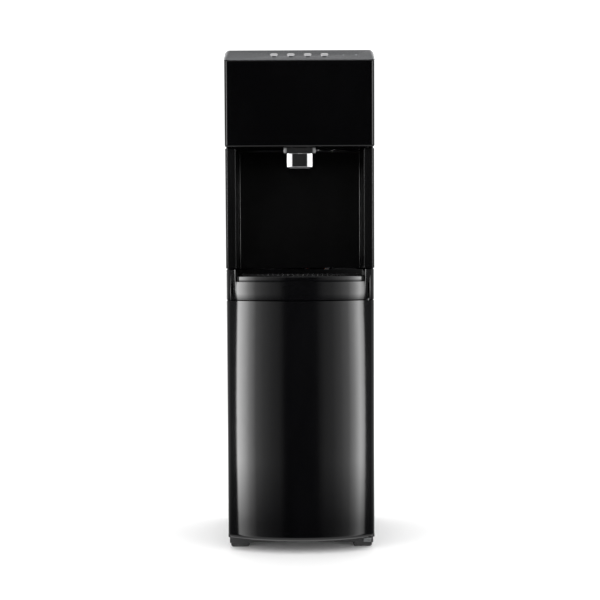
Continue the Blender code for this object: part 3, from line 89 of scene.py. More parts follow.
def newRod(name, place, radius, length, axis="Z", sides=48):
    letGo()
    bpy.ops.mesh.primitive_cylinder_add(vertices=sides, radius=radius, depth=length, location=place,
                                        rotation=axisTurns[axis])
    piece = bpy.context.object
    piece.name = name
    settle()
    return piece


def newLine(name, first, second):
    # two points joined by one edge, left selected and ready to be drawn along
    letGo()
    bpy.ops.mesh.primitive_plane_add(size=1)
    piece = bpy.context.object
    piece.name = name
    bpy.ops.object.mode_set(mode="EDIT")
    bpy.ops.mesh.select_mode(type="VERT")
    bm = bmesh.from_edit_mesh(piece.data)
    bm.verts.ensure_lookup_table()
    for vert in bm.verts:
        vert.select = vert.index > 1
    bm.select_flush_mode()
    bmesh.update_edit_mesh(piece.data)
    bpy.ops.mesh.delete(type="VERT")
    bm = bmesh.from_edit_mesh(piece.data)
    bm.verts.ensure_lookup_table()
    bm.verts[0].co = first
    bm.verts[1].co = second
    bmesh.update_edit_mesh(piece.data)
    bpy.ops.mesh.select_all(action="SELECT")
    return piece


def newRing(name, place, radius, axis, sides):
    # an open circle, left selected and ready to be drawn along
    letGo()
    bpy.ops.mesh.primitive_circle_add(vertices=sides, radius=radius, location=place, rotation=axisTurns[axis])
    piece = bpy.context.object
    piece.name = name
    settle()
    bpy.ops.object.mode_set(mode="EDIT")
    bpy.ops.mesh.select_mode(type="VERT")
    bpy.ops.mesh.select_all(action="SELECT")
    return piece


def go(x, y, z):
    bpy.ops.mesh.extrude_region_move(TRANSFORM_OT_translate={"value": (x, y, z)})


def turn(centre, angle, steps, axis=(0, 0, 1)):
    # spin runs clockwise, so the angle is turned round to count anticlockwise
    bpy.ops.mesh.spin(steps=steps, angle=-radians(angle), center=centre, axis=axis)


def pick(piece, rule, kind="FACE"):
    # choose faces, edges or verts by a rule on them
    if piece.mode != "EDIT":
        hold(piece)
        bpy.ops.object.mode_set(mode="EDIT")
    bpy.ops.mesh.select_mode(type=kind)
    bpy.ops.mesh.select_all(action="DESELECT")
    bm = bmesh.from_edit_mesh(piece.data)
    parts = {"FACE": bm.faces, "EDGE": bm.edges, "VERT": bm.verts}[kind]
    for part in parts:
        if rule(part):
            part.select_set(True)
    bm.select_flush_mode()
    bmesh.update_edit_mesh(piece.data)


def outward(piece, gap=0.00002):
    hold(piece)
    bpy.ops.object.mode_set(mode="EDIT")
    bpy.ops.mesh.select_all(action="SELECT")
    bpy.ops.mesh.remove_doubles(threshold=gap)
    bpy.ops.mesh.normals_make_consistent(inside=False)
    bpy.ops.object.mode_set(mode="OBJECT")


def modify(piece, kind, **settings):
    hold(piece)
    modifier = piece.modifiers.new(kind.title(), kind)
    for name, value in settings.items():
        setattr(modifier, name, value)
    bpy.ops.object.modifier_apply(modifier=modifier.name)


def thicken(piece, wall, side):
    modify(piece, "SOLIDIFY", thickness=wall, offset=side, use_even_offset=True)


def carve(piece, *tools):
    for tool in tools:
        letGo()
        modify(piece, "BOOLEAN", object=tool, operation="DIFFERENCE", solver="EXACT")
        bpy.data.objects.remove(tool)


def weld(piece, *others):
    for other in others:
        letGo()
        modify(piece, "BOOLEAN", object=other, operation="UNION", solver="EXACT")
        bpy.data.objects.remove(other)


def soften(piece, width, segments=3, angle=30):
    modify(piece, "BEVEL", width=width, segments=segments, limit_method="ANGLE", angle_limit=radians(angle),
           use_clamp_overlap=True, miter_outer="MITER_ARC")
    smoothOff(piece)


def smoothOff(piece, angle=30):
    hold(piece)
    bpy.ops.object.shade_smooth_by_angle(angle=radians(angle))


def copyOf(piece, name, move=(0, 0, 0)):
    other = piece.copy()
    other.data = piece.data.copy()
    other.name = name
    bpy.context.scene.collection.objects.link(other)
    hold(other)
    other.location = move
    settle()
    return other


def together(name, pieces):
    letGo()
    for piece in pieces:
        piece.select_set(True)
    bpy.context.view_layer.objects.active = pieces[0]
    bpy.ops.object.join()
    pieces[0].name = name
    return pieces[0]


def tilt(piece, angle, centre):
    # lean a piece back about a point, its mesh included
    lean = Matrix.Rotation(radians(angle), 4, "X")
    spin = Matrix.Translation(centre) @ lean @ Matrix.Translation(-Vector(centre))
    hold(piece)
    piece.matrix_world = spin @ piece.matrix_world
    settle()
    return piece


def done(piece, body, finish, *nodes):
    letGo()
    piece.data.materials.clear()
    piece.data.materials.append(finish)
    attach(piece, body)
    if nodes:
        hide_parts(*nodes)
    return piece


# node helpers

class Wire:
    # a node's output that can be used in plain sums
    def __init__(self, look, socket):
        self.look = look
        self.socket = socket

    def __add__(self, other):
        return self.look.sum("ADD", self, other)

    def __radd__(self, other):
        return self.look.sum("ADD", other, self)

    def __sub__(self, other):
        return self.look.sum("SUBTRACT", self, other)

    def __rsub__(self, other):
        return self.look.sum("SUBTRACT", other, self)

    def __mul__(self, other):
        return self.look.sum("MULTIPLY", self, other)

    def __rmul__(self, other):
        return self.look.sum("MULTIPLY", other, self)


class Look:
    # one material and the nodes that make it
    def __init__(self, name):
        self.material = bpy.data.materials.new(name)
        self.material.use_nodes = True
        self.tree = self.material.node_tree
        self.shader = self.tree.nodes["Principled BSDF"]
        self.place = self.node("TexCoord", {}, {}, "Object")

    def node(self, kind, settings, sockets, out=0):
        item = self.tree.nodes.new("ShaderNode" + kind)
        for name, value in settings.items():
            setattr(item, name, value)
        for name, value in sockets.items():
            if isinstance(value, Wire):
                self.tree.links.new(value.socket, item.inputs[name])
            else:
                item.inputs[name].default_value = value
        return Wire(self, item.outputs[out])

    def sum(self, operation, first, second):
        return self.node("Math", {"operation": operation}, {0: first, 1: second})

    def tone(self, amount, first, second):
        # from the first colour to the second
        return self.node("Mix", {"data_type": "RGBA"}, {0: amount, 6: (*first, 1.0), 7: (*second, 1.0)}, 2)

    def stretch(self, x, y, z):
        return self.node("Mapping", {}, {"Vector": self.place, "Scale": (x, y, z)})

    def noise(self, scale, detail=3.0, rough=0.5, place=None):
        return self.node("TexNoise", {}, {"Vector": place or self.place, "Scale": scale, "Detail": detail,
                                          "Roughness": rough}, "Fac")

    def cells(self, scale, out="Distance"):
        return self.node("TexVoronoi", {"feature": "F1"}, {"Vector": self.place, "Scale": scale}, out)

    def spread(self, value, low, high, first=0.0, second=1.0):
        return self.node("MapRange", {}, {"Value": value, "From Min": low, "From Max": high, "To Min": first,
                                          "To Max": second})

    def dent(self, height, distance, strength=1.0):
        return self.node("Bump", {}, {"Height": height, "Distance": distance, "Strength": strength})

    def dress(self, sockets):
        for name, value in sockets.items():
            if isinstance(value, Wire):
                self.tree.links.new(value.socket, self.shader.inputs[name])
            else:
                self.shader.inputs[name].default_value = value
        return self.material


def glossPlastic(name, colour, roughness):
    # polished moulding: long ripples of the tool, faint wiping marks and a little dust
    look = Look(name)
    ripple = look.noise(38, 1.0)
    wipe = look.noise(9, 4.0, 0.6, look.stretch(1.0, 1.0, 0.35))
    dust = look.spread(look.noise(1500, 2.0), 0.68, 0.80)
    marks = look.spread(wipe, 0.45, 0.75)
    pale = tuple(part * 1.5 + 0.0012 for part in colour)
    return look.dress({
        "Base Color": look.tone(marks * 0.5 + dust * 0.4, colour, pale),
        "Roughness": roughness + marks * 0.03 + dust * 0.12,
        "Normal": look.dent(ripple + look.noise(420, 2.0) * 0.08, 0.00004),
        "IOR": 1.5,
    })


def grainPlastic(name, colour, roughness, grain=900, depth=0.00006):
    # spark-eroded moulding, dull on its high spots
    look = Look(name)
    pits = look.cells(grain) * 0.7 + look.noise(grain * 0.7, 3.0) * 0.5
    worn = look.noise(14, 4.0, 0.6)
    pale = tuple(part * 1.35 + 0.006 for part in colour)
    return look.dress({
        "Base Color": look.tone(look.spread(worn, 0.35, 0.75) * 0.7, colour, pale),
        "Roughness": roughness + look.spread(worn, 0.3, 0.7) * 0.08 - look.spread(pits, 0.3, 0.9) * 0.05,
        "Normal": look.dent(pits, depth),
    })


def paintedSteel(name, colour, roughness):
    # powder coat over sheet: fine orange peel with a slow wave of the sheet under it
    look = Look(name)
    peel = look.noise(330, 2.0)
    wave = look.noise(6, 1.0)
    rub = look.noise(22, 5.0, 0.62)
    pale = tuple(part * 1.3 + 0.003 for part in colour)
    return look.dress({
        "Base Color": look.tone(look.spread(rub, 0.4, 0.8) * 0.6, colour, pale),
        "Roughness": roughness + look.spread(rub, 0.35, 0.7) * 0.06,
        "Normal": look.dent(peel * 0.35 + wave * 1.5, 0.0001, 0.5),
    })


def flakePaint(name, colour, roughness):
    # grey paint with fine metal flakes, and a painted sheen that is paler low on the strip towards its front
    # edge
    look = Look(name)
    flakes = look.cells(2600, "Color")
    glint = look.node("SeparateColor", {}, {"Color": flakes}, 0)
    soft = look.noise(18, 3.0)
    # painted sheen from the height: paler low on the strip, towards its front edge, darker towards its top
    height = look.node("SeparateXYZ", {}, {"Vector": look.place}, 2)
    paintedSheen = look.spread(height, 1.019, 1.042, 1.0, 0.0) * 0.55
    pale = tuple(part * 2.4 for part in colour)
    sparkle = look.spread(glint, 0.35, 1.0) * 0.30 + look.spread(soft, 0.4, 0.7) * 0.10
    return look.dress({
        "Base Color": look.tone(sparkle + paintedSheen, colour, pale),
        "Roughness": roughness + glint * 0.10,
        "Metallic": 0.75,
        "Normal": look.dent(glint, 0.00001, 0.5),
    })


def platedMetal(name, colour, roughness):
    # chrome: mirror with finger marks
    look = Look(name)
    marks = look.spread(look.noise(60, 5.0, 0.65), 0.50, 0.72)
    return look.dress({
        "Base Color": look.tone(marks * 0.5, colour, tuple(part * 0.86 for part in colour)),
        "Roughness": roughness + marks * 0.08,
        "Metallic": 1.0,
        "Normal": look.dent(look.noise(140, 2.0), 0.00001, 0.4),
    })


def rolledMetal(name, colour, roughness):
    # drawn or rolled metal with fine lines along it
    look = Look(name)
    streaks = look.noise(10, 4.0, 0.7, look.stretch(6, 6, 260))
    stains = look.noise(25, 4.0)
    return look.dress({
        "Base Color": look.tone(look.spread(stains, 0.35, 0.7), tuple(part * 0.72 for part in colour), colour),
        "Roughness": roughness + streaks * 0.16,
        "Metallic": 1.0,
        "Normal": look.dent(streaks, 0.00002, 0.5),
    })


def zincMetal(name, colour, roughness):
    # galvanised sheet with its spangle
    look = Look(name)
    spangle = look.node("SeparateColor", {}, {"Color": look.cells(70, "Color")}, 0)
    return look.dress({
        "Base Color": look.tone(spangle, tuple(part * 0.70 for part in colour), colour),
        "Roughness": roughness + spangle * 0.18,
        "Metallic": 1.0,
        "Normal": look.dent(spangle + look.noise(300, 2.0) * 0.3, 0.00001),
    })


def softRubber(name, colour, roughness):
    # rubber with a chalky bloom
    look = Look(name)
    bloom = look.spread(look.noise(40, 5.0, 0.65), 0.42, 0.75)
    return look.dress({
        "Base Color": look.tone(bloom, colour, tuple(part + 0.035 for part in colour)),
        "Roughness": roughness - bloom * 0.08,
        "Normal": look.dent(look.noise(1200, 3.0) + bloom * 0.5, 0.00005),
    })


def openFoam(name, colour):
    # foam with open pores, their hollows darkened with painted shade
    look = Look(name)
    pores = look.cells(420)
    return look.dress({
        # painted shade: darker at the middle of each pore
        "Base Color": look.tone(look.spread(pores, 0.0, 0.7), tuple(part * 0.4 for part in colour), colour),
        "Roughness": 0.95,
        "Normal": look.dent(pores, 0.0006),
    })


def milkyHose(name, colour):
    # cloudy silicone that lets some light in
    look = Look(name)
    cloud = look.noise(60, 4.0)
    return look.dress({
        "Base Color": look.tone(look.spread(cloud, 0.35, 0.7), colour, tuple(part * 0.85 for part in colour)),
        "Roughness": 0.32 + cloud * 0.12,
        "Subsurface Weight": 0.15,
        "Normal": look.dent(look.noise(500, 2.0), 0.00002),
    })


def circuitBoard(name):
    # green lacquer over copper tracks
    look = Look(name)
    tracks = look.node("TexWave", {"wave_type": "BANDS", "bands_direction": "X"},
                       {"Vector": look.place, "Scale": 95.0, "Distortion": 3.0, "Detail": 1.0}, "Fac")
    line = look.spread(tracks, 0.62, 0.68)
    return look.dress({
        "Base Color": look.tone(line, (0.010, 0.085, 0.035), (0.030, 0.170, 0.070)),
        "Roughness": 0.38 + look.noise(200, 3.0) * 0.15,
        "Normal": look.dent(line, 0.00008),
    })


def clearLens(name):
    # frosted light guide under a clear coat
    look = Look(name)
    haze = look.noise(700, 2.0)
    return look.dress({
        "Base Color": look.tone(haze, (0.36, 0.38, 0.40), (0.50, 0.52, 0.55)),
        "Roughness": 0.10 + haze * 0.10,
        "Normal": look.dent(look.cells(1800), 0.00005, 0.4),
        "Coat Weight": 0.6,
    })


black = glossPlastic("black_gloss", (0.0014, 0.0014, 0.0017), 0.05)
# a darker copy of the same gloss black for the head: painted shade
blackShadedHead = glossPlastic("black_gloss_shaded_head", (0.0008, 0.0008, 0.0010), 0.05)
# a darker, rougher copy of the same gloss black for the recessed niche: painted shade
blackShadedNiche = glossPlastic("black_gloss_shaded_niche", (0.0008, 0.0008, 0.0010), 0.24)
satin = grainPlastic("black_satin", (0.016, 0.016, 0.017), 0.38)
matte = grainPlastic("black_matte", (0.026, 0.026, 0.027), 0.58, 700, 0.00008)
paint = paintedSteel("black_paint", (0.014, 0.014, 0.015), 0.30)
stripPaint = flakePaint("strip_paint", (0.078, 0.080, 0.083), 0.26)
chrome = platedMetal("chrome_plate", (0.80, 0.80, 0.81), 0.06)
steel = rolledMetal("bare_steel", (0.56, 0.56, 0.57), 0.24)
zinc = zincMetal("galvanised_sheet", (0.52, 0.53, 0.54), 0.32)
copper = rolledMetal("copper_tube", (0.66, 0.33, 0.19), 0.25)
rubber = softRubber("foot_rubber", (0.020, 0.020, 0.020), 0.80)
foam = openFoam("jacket_foam", (0.080, 0.080, 0.085))
hose = milkyHose("milky_hose", (0.66, 0.69, 0.70))
white = grainPlastic("white_moulding", (0.70, 0.70, 0.68), 0.40, 1100, 0.00003)
board = circuitBoard("circuit_board")
lens = clearLens("clear_lens")
print("materials made")

# what each carried-over piece is made of
carried = (
    (satin, ("bay_floor", "door_magnet")),
    (matte, ("base_pan", "power_inlet", "switch_frame", "pump", "compressor", "wall_spacer_left",
             "wall_spacer_right", "drain_cap")),
    (black, ("niche_ceiling", "rocker_cold", "rocker_hot")),
    (zinc, ("mid_shelf", "tank_shelf", "hinge_top", "hinge_bottom")),
    (steel, ("cold_tank", "hot_tank")),
    (copper, ("evaporator_coil",)),
    (rubber, ("foot_front_left", "foot_front_right", "foot_rear_left", "foot_rear_right")),
    (foam, ("cold_jacket",)),
    (hose, ("supply_hose", "fill_hose", "cold_hose", "hot_hose", "drain_hose")),
    (white, ("probe_clip", "outlet_manifold", "valve_cold", "valve_hot", "drain_spout")),
    (board, ("control_board",)),
)
for finish, names in carried:
    for name in names:
        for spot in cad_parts[name].material_slots:
            spot.material = finish
print("carried pieces dressed")


# shapes shared by several pieces

def closeUp(piece, low, high):
    # join the open back of a drawn wall, then cap its ends
    bpy.ops.mesh.select_all(action="DESELECT")
    bm = bmesh.from_edit_mesh(piece.data)
    for edge in bm.edges:
        tall = abs(edge.verts[0].co.z - edge.verts[1].co.z) > 0.5 * (high - low)
        if edge.is_boundary and tall:
            edge.select_set(True)
    bmesh.update_edit_mesh(piece.data)
    bpy.ops.mesh.edge_face_add()
    bpy.ops.mesh.select_all(action="SELECT")
    bpy.ops.mesh.fill_holes(sides=0)
    outward(piece)


def slicePiece(piece, point, normal, below=False):
    # cut along a plane and close the cut; what lies along the normal goes, or what lies below it
    hold(piece)
    bpy.ops.object.mode_set(mode="EDIT")
    bpy.ops.mesh.select_all(action="SELECT")
    bpy.ops.mesh.bisect(plane_co=point, plane_no=normal, use_fill=True, clear_inner=below,
                        clear_outer=not below)
    bpy.ops.object.mode_set(mode="OBJECT")


def bowAt(x, inset):
    # the bowed front's y at x, a little inside it
    return bowCentre - sqrt((bowRadius - inset) ** 2 - x ** 2)


def roundEdges(piece, rule, width, steps):
    pick(piece, rule, "EDGE")
    bpy.ops.mesh.bevel(offset=width, segments=steps, affect="EDGES")
    bpy.ops.object.mode_set(mode="OBJECT")


def upright(edge):
    first, second = edge.verts
    return abs(first.co.z - second.co.z) > 0.002 and (first.co.xy - second.co.xy).length < 0.0002


def lying(edge, level):
    first, second = edge.verts
    return abs(first.co.z - level) < 0.0002 and abs(second.co.z - level) < 0.0002


# front door
door = {"bottomRound": 0.011, "recess": 0.012, "liner": 0.0025, "sill": 0.014, "header": 0.012, "bowSteps": 112,
        "cornerSteps": 14, "magnetHalf": (0.0043, 0.0353), "magnetDepth": 0.0063, "magnetZ": 0.27525,
        "socket": 0.0033, "socketLength": 0.026}
edge = cabinet["edgeRadius"]
low, high = cabinet["doorBottom"], cabinet["doorTop"]
doorBack = pivot.y + edge
doorPanel = newLine("doorPanel", (-pivot.x, doorBack, low), (-pivot.x, doorBack, high))
turn((-pivot.x, pivot.y, 0), 180 - bowAngle, door["cornerSteps"] * 2)
turn((0, bowCentre, 0), 2 * bowAngle, door["bowSteps"])
turn((pivot.x, pivot.y, 0), 180 - bowAngle, door["cornerSteps"] * 2)
closeUp(doorPanel, low, high)
roundEdges(doorPanel, lambda e: lying(e, low) and max(v.co.y for v in e.verts) < pivot.y + 0.0001,
           door["bottomRound"], 8)
inside = pivot.x - edge
recessLow, recessHigh = low + door["sill"], high - door["header"]
magnetX, magnetZ = door["magnetHalf"]
carve(doorPanel,
      newBox("recessTool", (-inside, inside), (doorBack - door["recess"], doorBack + 0.01),
             (recessLow, recessHigh)),
      newBox("magnetTool", (-pivot.x - magnetX, -pivot.x + magnetX),
             (doorBack - door["magnetDepth"], doorBack + 0.01),
             (door["magnetZ"] - magnetZ, door["magnetZ"] + magnetZ)),
      newRod("socketTool", (pivot.x, pivot.y, low), door["socket"], door["socketLength"], "Z", 32),
      newRod("socketTool", (pivot.x, pivot.y, high), door["socket"], door["socketLength"], "Z", 32))
soften(doorPanel, 0.0007, 2, 50)
done(doorPanel, "door", black, "door_shell")

# its inner liner, with two pressed fields and a rib between them
liner = newBox("doorLiner", (-inside + clearance, inside - clearance), (doorBack - door["liner"], doorBack),
               (recessLow + clearance, recessHigh - clearance))
pick(liner, lambda f: f.normal.y > 0.9)
bpy.ops.mesh.inset(thickness=0.014, depth=0)
bpy.ops.mesh.inset(thickness=0.003, depth=-0.0014)
bpy.ops.mesh.subdivide(number_cuts=2)
pick(liner, lambda f: f.normal.y > 0.9 and f.calc_center_median().y < doorBack - 0.001)
bpy.ops.mesh.inset(thickness=0.010, depth=0, use_individual=True)
bpy.ops.mesh.inset(thickness=0.002, depth=0.0008, use_individual=True)
bpy.ops.object.mode_set(mode="OBJECT")
soften(liner, 0.0005, 2)
done(liner, "door", satin, "door_liner")
print("door built")

# tray deck with the band under it and a column at each side
deck = {"pocketHalf": 0.1343, "pocketBack": -0.0212, "round": 0.0005, "wall": 0.003, "half": 0.1472,
        "back": -0.0125, "underHalf": 0.1442, "underFront": -0.150}
low, high = cabinet["bandBottom"], cabinet["columnTop"]
mouldingBack = cabinet["frameFront"] + 0.0015
trayDeck = newLine("trayDeck", (-deck["half"], deck["back"], low), (-deck["half"], deck["back"], high))
go(0, mouldingBack - deck["back"], 0)
go(deck["half"] - half, 0, 0)
go(0, pivot.y - mouldingBack, 0)
turn((-pivot.x, pivot.y, 0), 90 - bowAngle, door["cornerSteps"])
turn((0, bowCentre, 0), 2 * bowAngle, door["bowSteps"])
turn((pivot.x, pivot.y, 0), 90 - bowAngle, door["cornerSteps"])
go(0, mouldingBack - pivot.y, 0)
go(deck["half"] - half, 0, 0)
go(0, deck["back"] - mouldingBack, 0)
closeUp(trayDeck, low, high)
slicePiece(trayDeck, (0, cabinet["cheekFront"], cabinet["columnTop"]), (0, cabinet["seamFall"], 1))
pocket = newBox("pocketTool", (-deck["pocketHalf"], deck["pocketHalf"]), (-0.25, deck["pocketBack"]),
                (cabinet["deckTop"], high + 0.03))
under = newBox("underTool", (-deck["underHalf"], deck["underHalf"]), (deck["underFront"], 0.02),
               (low - 0.02, cabinet["deckTop"] - deck["wall"]))
carve(trayDeck, pocket, under)
soften(trayDeck, deck["round"], 3, 40)
done(trayDeck, "cabinet", black, "tray_deck")
print("deck built")

# drip tray
tray = {"half": 0.134, "back": -0.0215, "cut": (0.005, 0.006), "low": 0.5651, "high": 0.5766, "inset": 0.0005,
        "lipRound": 0.0018, "rim": 0.009, "rimFront": 0.004, "rimBack": 0.005, "ledge": 0.0035, "seat": 0.0033,
        "floor": 0.002}
cutX, cutY = tray["cut"]
reach = tray["half"] - cutX
lipY = bowAt(reach, tray["inset"])
dripTray = newLine("dripTray", (-tray["half"], tray["back"], tray["low"]),
                   (-tray["half"], tray["back"], tray["high"]))
go(0, lipY + cutY - tray["back"], 0)
go(cutX, -cutY, 0)
turn((0, bowCentre, 0), 2 * degrees(asin(reach / (bowRadius - tray["inset"]))), 88)
go(cutX, cutY, 0)
go(0, tray["back"] - lipY - cutY, 0)
closeUp(dripTray, tray["low"], tray["high"])
roundEdges(dripTray, lambda e: lying(e, tray["high"]) and max(v.co.y for v in e.verts) < lipY + cutY + 0.0001,
           tray["lipRound"], 5)
seatX = tray["half"] - tray["rim"]
seatFront, seatBack = lipY + tray["rimFront"], tray["back"] - tray["rimBack"]
seatLow = tray["high"] - tray["seat"]
seatTool = newBox("seatTool", (-seatX, seatX), (seatFront, seatBack), (seatLow, tray["high"] + 0.02))
roundEdges(seatTool, upright, 0.004, 6)
bowlTool = newBox("bowlTool", (-seatX + tray["ledge"], seatX - tray["ledge"]),
                  (seatFront + tray["ledge"], seatBack - tray["ledge"]),
                  (tray["low"] + tray["floor"], tray["high"] + 0.02))
roundEdges(bowlTool, upright, 0.008, 6)
carve(dripTray, seatTool, bowlTool)
soften(dripTray, 0.0005, 2, 50)
done(dripTray, "tray", black, "drip_tray")

# grille that lies in the tray
grille = {"rows": 2, "columns": 18, "pitch": 0.0105, "slot": 0.0055, "thick": 0.0025, "play": 0.0006,
          "corner": 0.0034, "border": 0.006, "bridge": 0.003}
grilleX = seatX - grille["play"]
grilleY = (seatFront + grille["play"], seatBack - grille["play"])
grilleLow = seatLow + clearance
plate = newBox("trayGrille", (-grilleX, grilleX), grilleY, (grilleLow, grilleLow + grille["thick"]))
roundEdges(plate, upright, grille["corner"], 6)
length = (grilleY[1] - grilleY[0] - 2 * grille["border"]) / grille["rows"]
slotTools = []
for row in range(grille["rows"]):
    base = grilleY[0] + grille["border"] + row * length
    for column in range(grille["columns"]):
        x = (column - (grille["columns"] - 1) / 2) * grille["pitch"]
        if not slotTools:
            first = newBox("slotTool", (-grille["slot"] / 2, grille["slot"] / 2),
                           (grille["bridge"], length - grille["bridge"]),
                           (grilleLow - 0.002, grilleLow + 0.006))
            roundEdges(first, upright, grille["slot"] * 0.48, 5)
            slotTools.append(first)
        slotTools.append(copyOf(first, "slotTool", (x, base, 0)))
bpy.data.objects.remove(slotTools.pop(0))
carve(plate, together("slotTools", slotTools))
soften(plate, 0.0004, 2, 50)
done(plate, "grille", satin, "tray_grille")
print("tray and grille built")

# niche moulding: both cheeks and the rounded back of the cup space
niche = {"cheekX": 0.132, "round": 0.006, "edge": 0.0015, "corner": 0.004, "wall": 0.0025, "steps": 12,
         "drawnFrom": 0.585}
low, high = niche["drawnFrom"], cabinet["shellTop"]
cheek, back, corner = niche["cheekX"], cabinet["nicheBack"], niche["corner"]
bend, lip = niche["round"], niche["edge"]
front = cabinet["cheekFront"]
nicheShell = newLine("nicheShell", (-half, mouldingBack, low), (-half, mouldingBack, high))
go(0, front + bend - mouldingBack, 0)
turn((-half + bend, front + bend, 0), 90, niche["steps"])
go(half - cheek - bend - lip, 0, 0)
turn((-cheek - lip, front + lip, 0), 90, 5)
go(0, back - corner - front - lip, 0)
turn((-cheek + corner, back - corner, 0), -90, niche["steps"])
go(2 * (cheek - corner), 0, 0)
turn((cheek - corner, back - corner, 0), -90, niche["steps"])
go(0, front + lip - back + corner, 0)
turn((cheek + lip, front + lip, 0), 90, 5)
go(half - cheek - bend - lip, 0, 0)
turn((half - bend, front + bend, 0), 90, niche["steps"])
go(0, mouldingBack - front - bend, 0)
bpy.ops.object.mode_set(mode="OBJECT")
outward(nicheShell)
middle = min(nicheShell.data.polygons, key=lambda f: (f.center - Vector((0, back, 0.7))).length)
thicken(nicheShell, niche["wall"], -1 if middle.normal.y < 0 else 1)
slicePiece(nicheShell, (0, front, cabinet["shellBottom"]), (0, cabinet["seamFall"], 1), True)
outward(nicheShell)
soften(nicheShell, 0.0008, 3, 40)
# the niche takes the darker copy of the gloss black: painted shade
done(nicheShell, "cabinet", blackShadedNiche, "niche_shell")
print("niche built")

# head panel
head = {"corner": 0.007, "chin": 0.0045, "brow": 0.0022, "wall": 0.0025, "side": 0.007, "lip": 0.015,
        "mouthHalf": 0.1475}
low, high = cabinet["headBottom"], cabinet["headTop"]
headPanel = newBox("headPanel", (-half, half), (cabinet["headFront"], mouldingBack), (low, high))
roundEdges(headPanel, lambda e: upright(e) and max(v.co.y for v in e.verts) < cabinet["headFront"] + 0.0001,
           head["corner"], 12)
roundEdges(headPanel, lambda e: lying(e, low) and min(v.co.y for v in e.verts) < mouldingBack - 0.001,
           head["chin"], 8)
roundEdges(headPanel, lambda e: lying(e, high) and min(v.co.y for v in e.verts) < mouldingBack - 0.001,
           head["brow"], 6)
carve(headPanel,
      newBox("hollowTool", (-half + head["side"], half - head["side"]),
             (cabinet["headFront"] + head["wall"], mouldingBack + 0.01), (low + head["wall"], high + 0.01)),
      newBox("mouthTool", (-head["mouthHalf"], head["mouthHalf"]),
             (cabinet["headFront"] + head["lip"], mouldingBack + 0.01), (low - 0.01, low + 0.0035)))
soften(headPanel, 0.0004, 2, 50)
# the head takes the darker copy of the gloss black: painted shade
done(headPanel, "cabinet", blackShadedHead, "head_fascia")

# sloping control strip
strip = {"depth": 0.038, "lip": 0.0008, "shoulder": 0.010, "nose": 0.0007, "wall": 0.0025, "side": 0.010,
         "front": 0.006, "row": 0.021, "buttonPitch": 0.0346, "buttonSize": (0.016, 0.012),
         "buttonCorner": 0.0042, "holeCorner": 0.0044, "flange": 0.0015, "lamps": (0.091, 0.117)}
low, high = cabinet["stripBottom"], cabinet["top"]
slope = atan2(high - low - strip["lip"], strip["depth"])
stripFront = (0, cabinet["headFront"], low + strip["lip"])
stripBack = cabinet["headFront"] + strip["depth"]


def onStrip(x, along, out=0.0):
    # a point on the slope, so far up it and so far off it
    return Vector((x, stripFront[1] + along * cos(slope) - out * sin(slope),
                   stripFront[2] + along * sin(slope) + out * cos(slope)))


controlStrip = newBox("controlStrip", (-half, half), (cabinet["headFront"], stripBack), (low, high))
slicePiece(controlStrip, stripFront, (0, -sin(slope), cos(slope)))
roundEdges(controlStrip, lambda e: min(abs(v.co.x) for v in e.verts) > half - 0.0001
           and max(v.co.z for v in e.verts) > high - 0.0001 and abs(e.verts[0].co.y - e.verts[1].co.y) > 0.01,
           strip["shoulder"], 10)
roundEdges(controlStrip, lambda e: abs(e.verts[0].co.x - e.verts[1].co.x) > 0.2
           and all((v.co - Vector(stripFront)).yz.length < 0.0003 for v in e.verts), strip["nose"], 8)
outward(controlStrip)
inner = newBox("stripTool", (-half + strip["side"], half - strip["side"]),
               (cabinet["headFront"] + strip["front"], stripBack - strip["wall"]), (low - 0.01, high))
slicePiece(inner, onStrip(0, 0, -strip["wall"]), (0, -sin(slope), cos(slope)))
outward(inner)
carve(controlStrip, inner)
buttonW, buttonD = strip["buttonSize"]


def standing(name, place, margin, low, high):
    # a box round a button's place, wider than the button by the margin
    reachX, reachY = buttonW / 2 + margin, buttonD / 2 + margin
    return newBox(name, (place.x - reachX, place.x + reachX), (place.y - reachY, place.y + reachY),
                  (place.z + low, place.z + high))


for number in range(4):
    place = onStrip((number - 1.5) * strip["buttonPitch"], strip["row"])
    hole = standing("holeTool", place, clearance, -0.01, 0.01)
    roundEdges(hole, upright, strip["holeCorner"], 8)
    carve(controlStrip, tilt(hole, degrees(slope), place))
for x in strip["lamps"]:
    place = onStrip(x, strip["row"])
    carve(controlStrip, tilt(newRod("lampTool", place, 0.0018, 0.02, "Z", 24), degrees(slope), place))
soften(controlStrip, 0.0005, 3, 40)
done(controlStrip, "cabinet", stripPaint, "control_strip")

# chromed buttons with a dished top, each standing in its hole
for number in range(4):
    place = onStrip((number - 1.5) * strip["buttonPitch"], strip["row"])
    button = standing("button%d" % (number + 1), place, 0, -0.0028, 0.0012)
    roundEdges(button, upright, strip["buttonCorner"], 8)
    pick(button, lambda f: f.normal.z > 0.9)
    bpy.ops.mesh.inset(thickness=0.0006, depth=0)
    bpy.ops.mesh.inset(thickness=0.0011, depth=-0.0003)
    bpy.ops.mesh.inset(thickness=0.0014, depth=-0.0002)
    bpy.ops.object.mode_set(mode="OBJECT")
    flange = standing("flange", place, strip["flange"], -0.0042, -0.0030)
    roundEdges(flange, upright, 0.002, 4)
    stem = newBox("stem", (place.x - 0.005, place.x + 0.005), (place.y - 0.004, place.y + 0.004),
                  (place.z - 0.0032, place.z - 0.0020))
    weld(button, flange, stem)
    tilt(button, degrees(slope), place)
    soften(button, 0.0003, 2, 40)
    done(button, "key_%d" % (number + 1), chrome, "button_%d" % (number + 1))
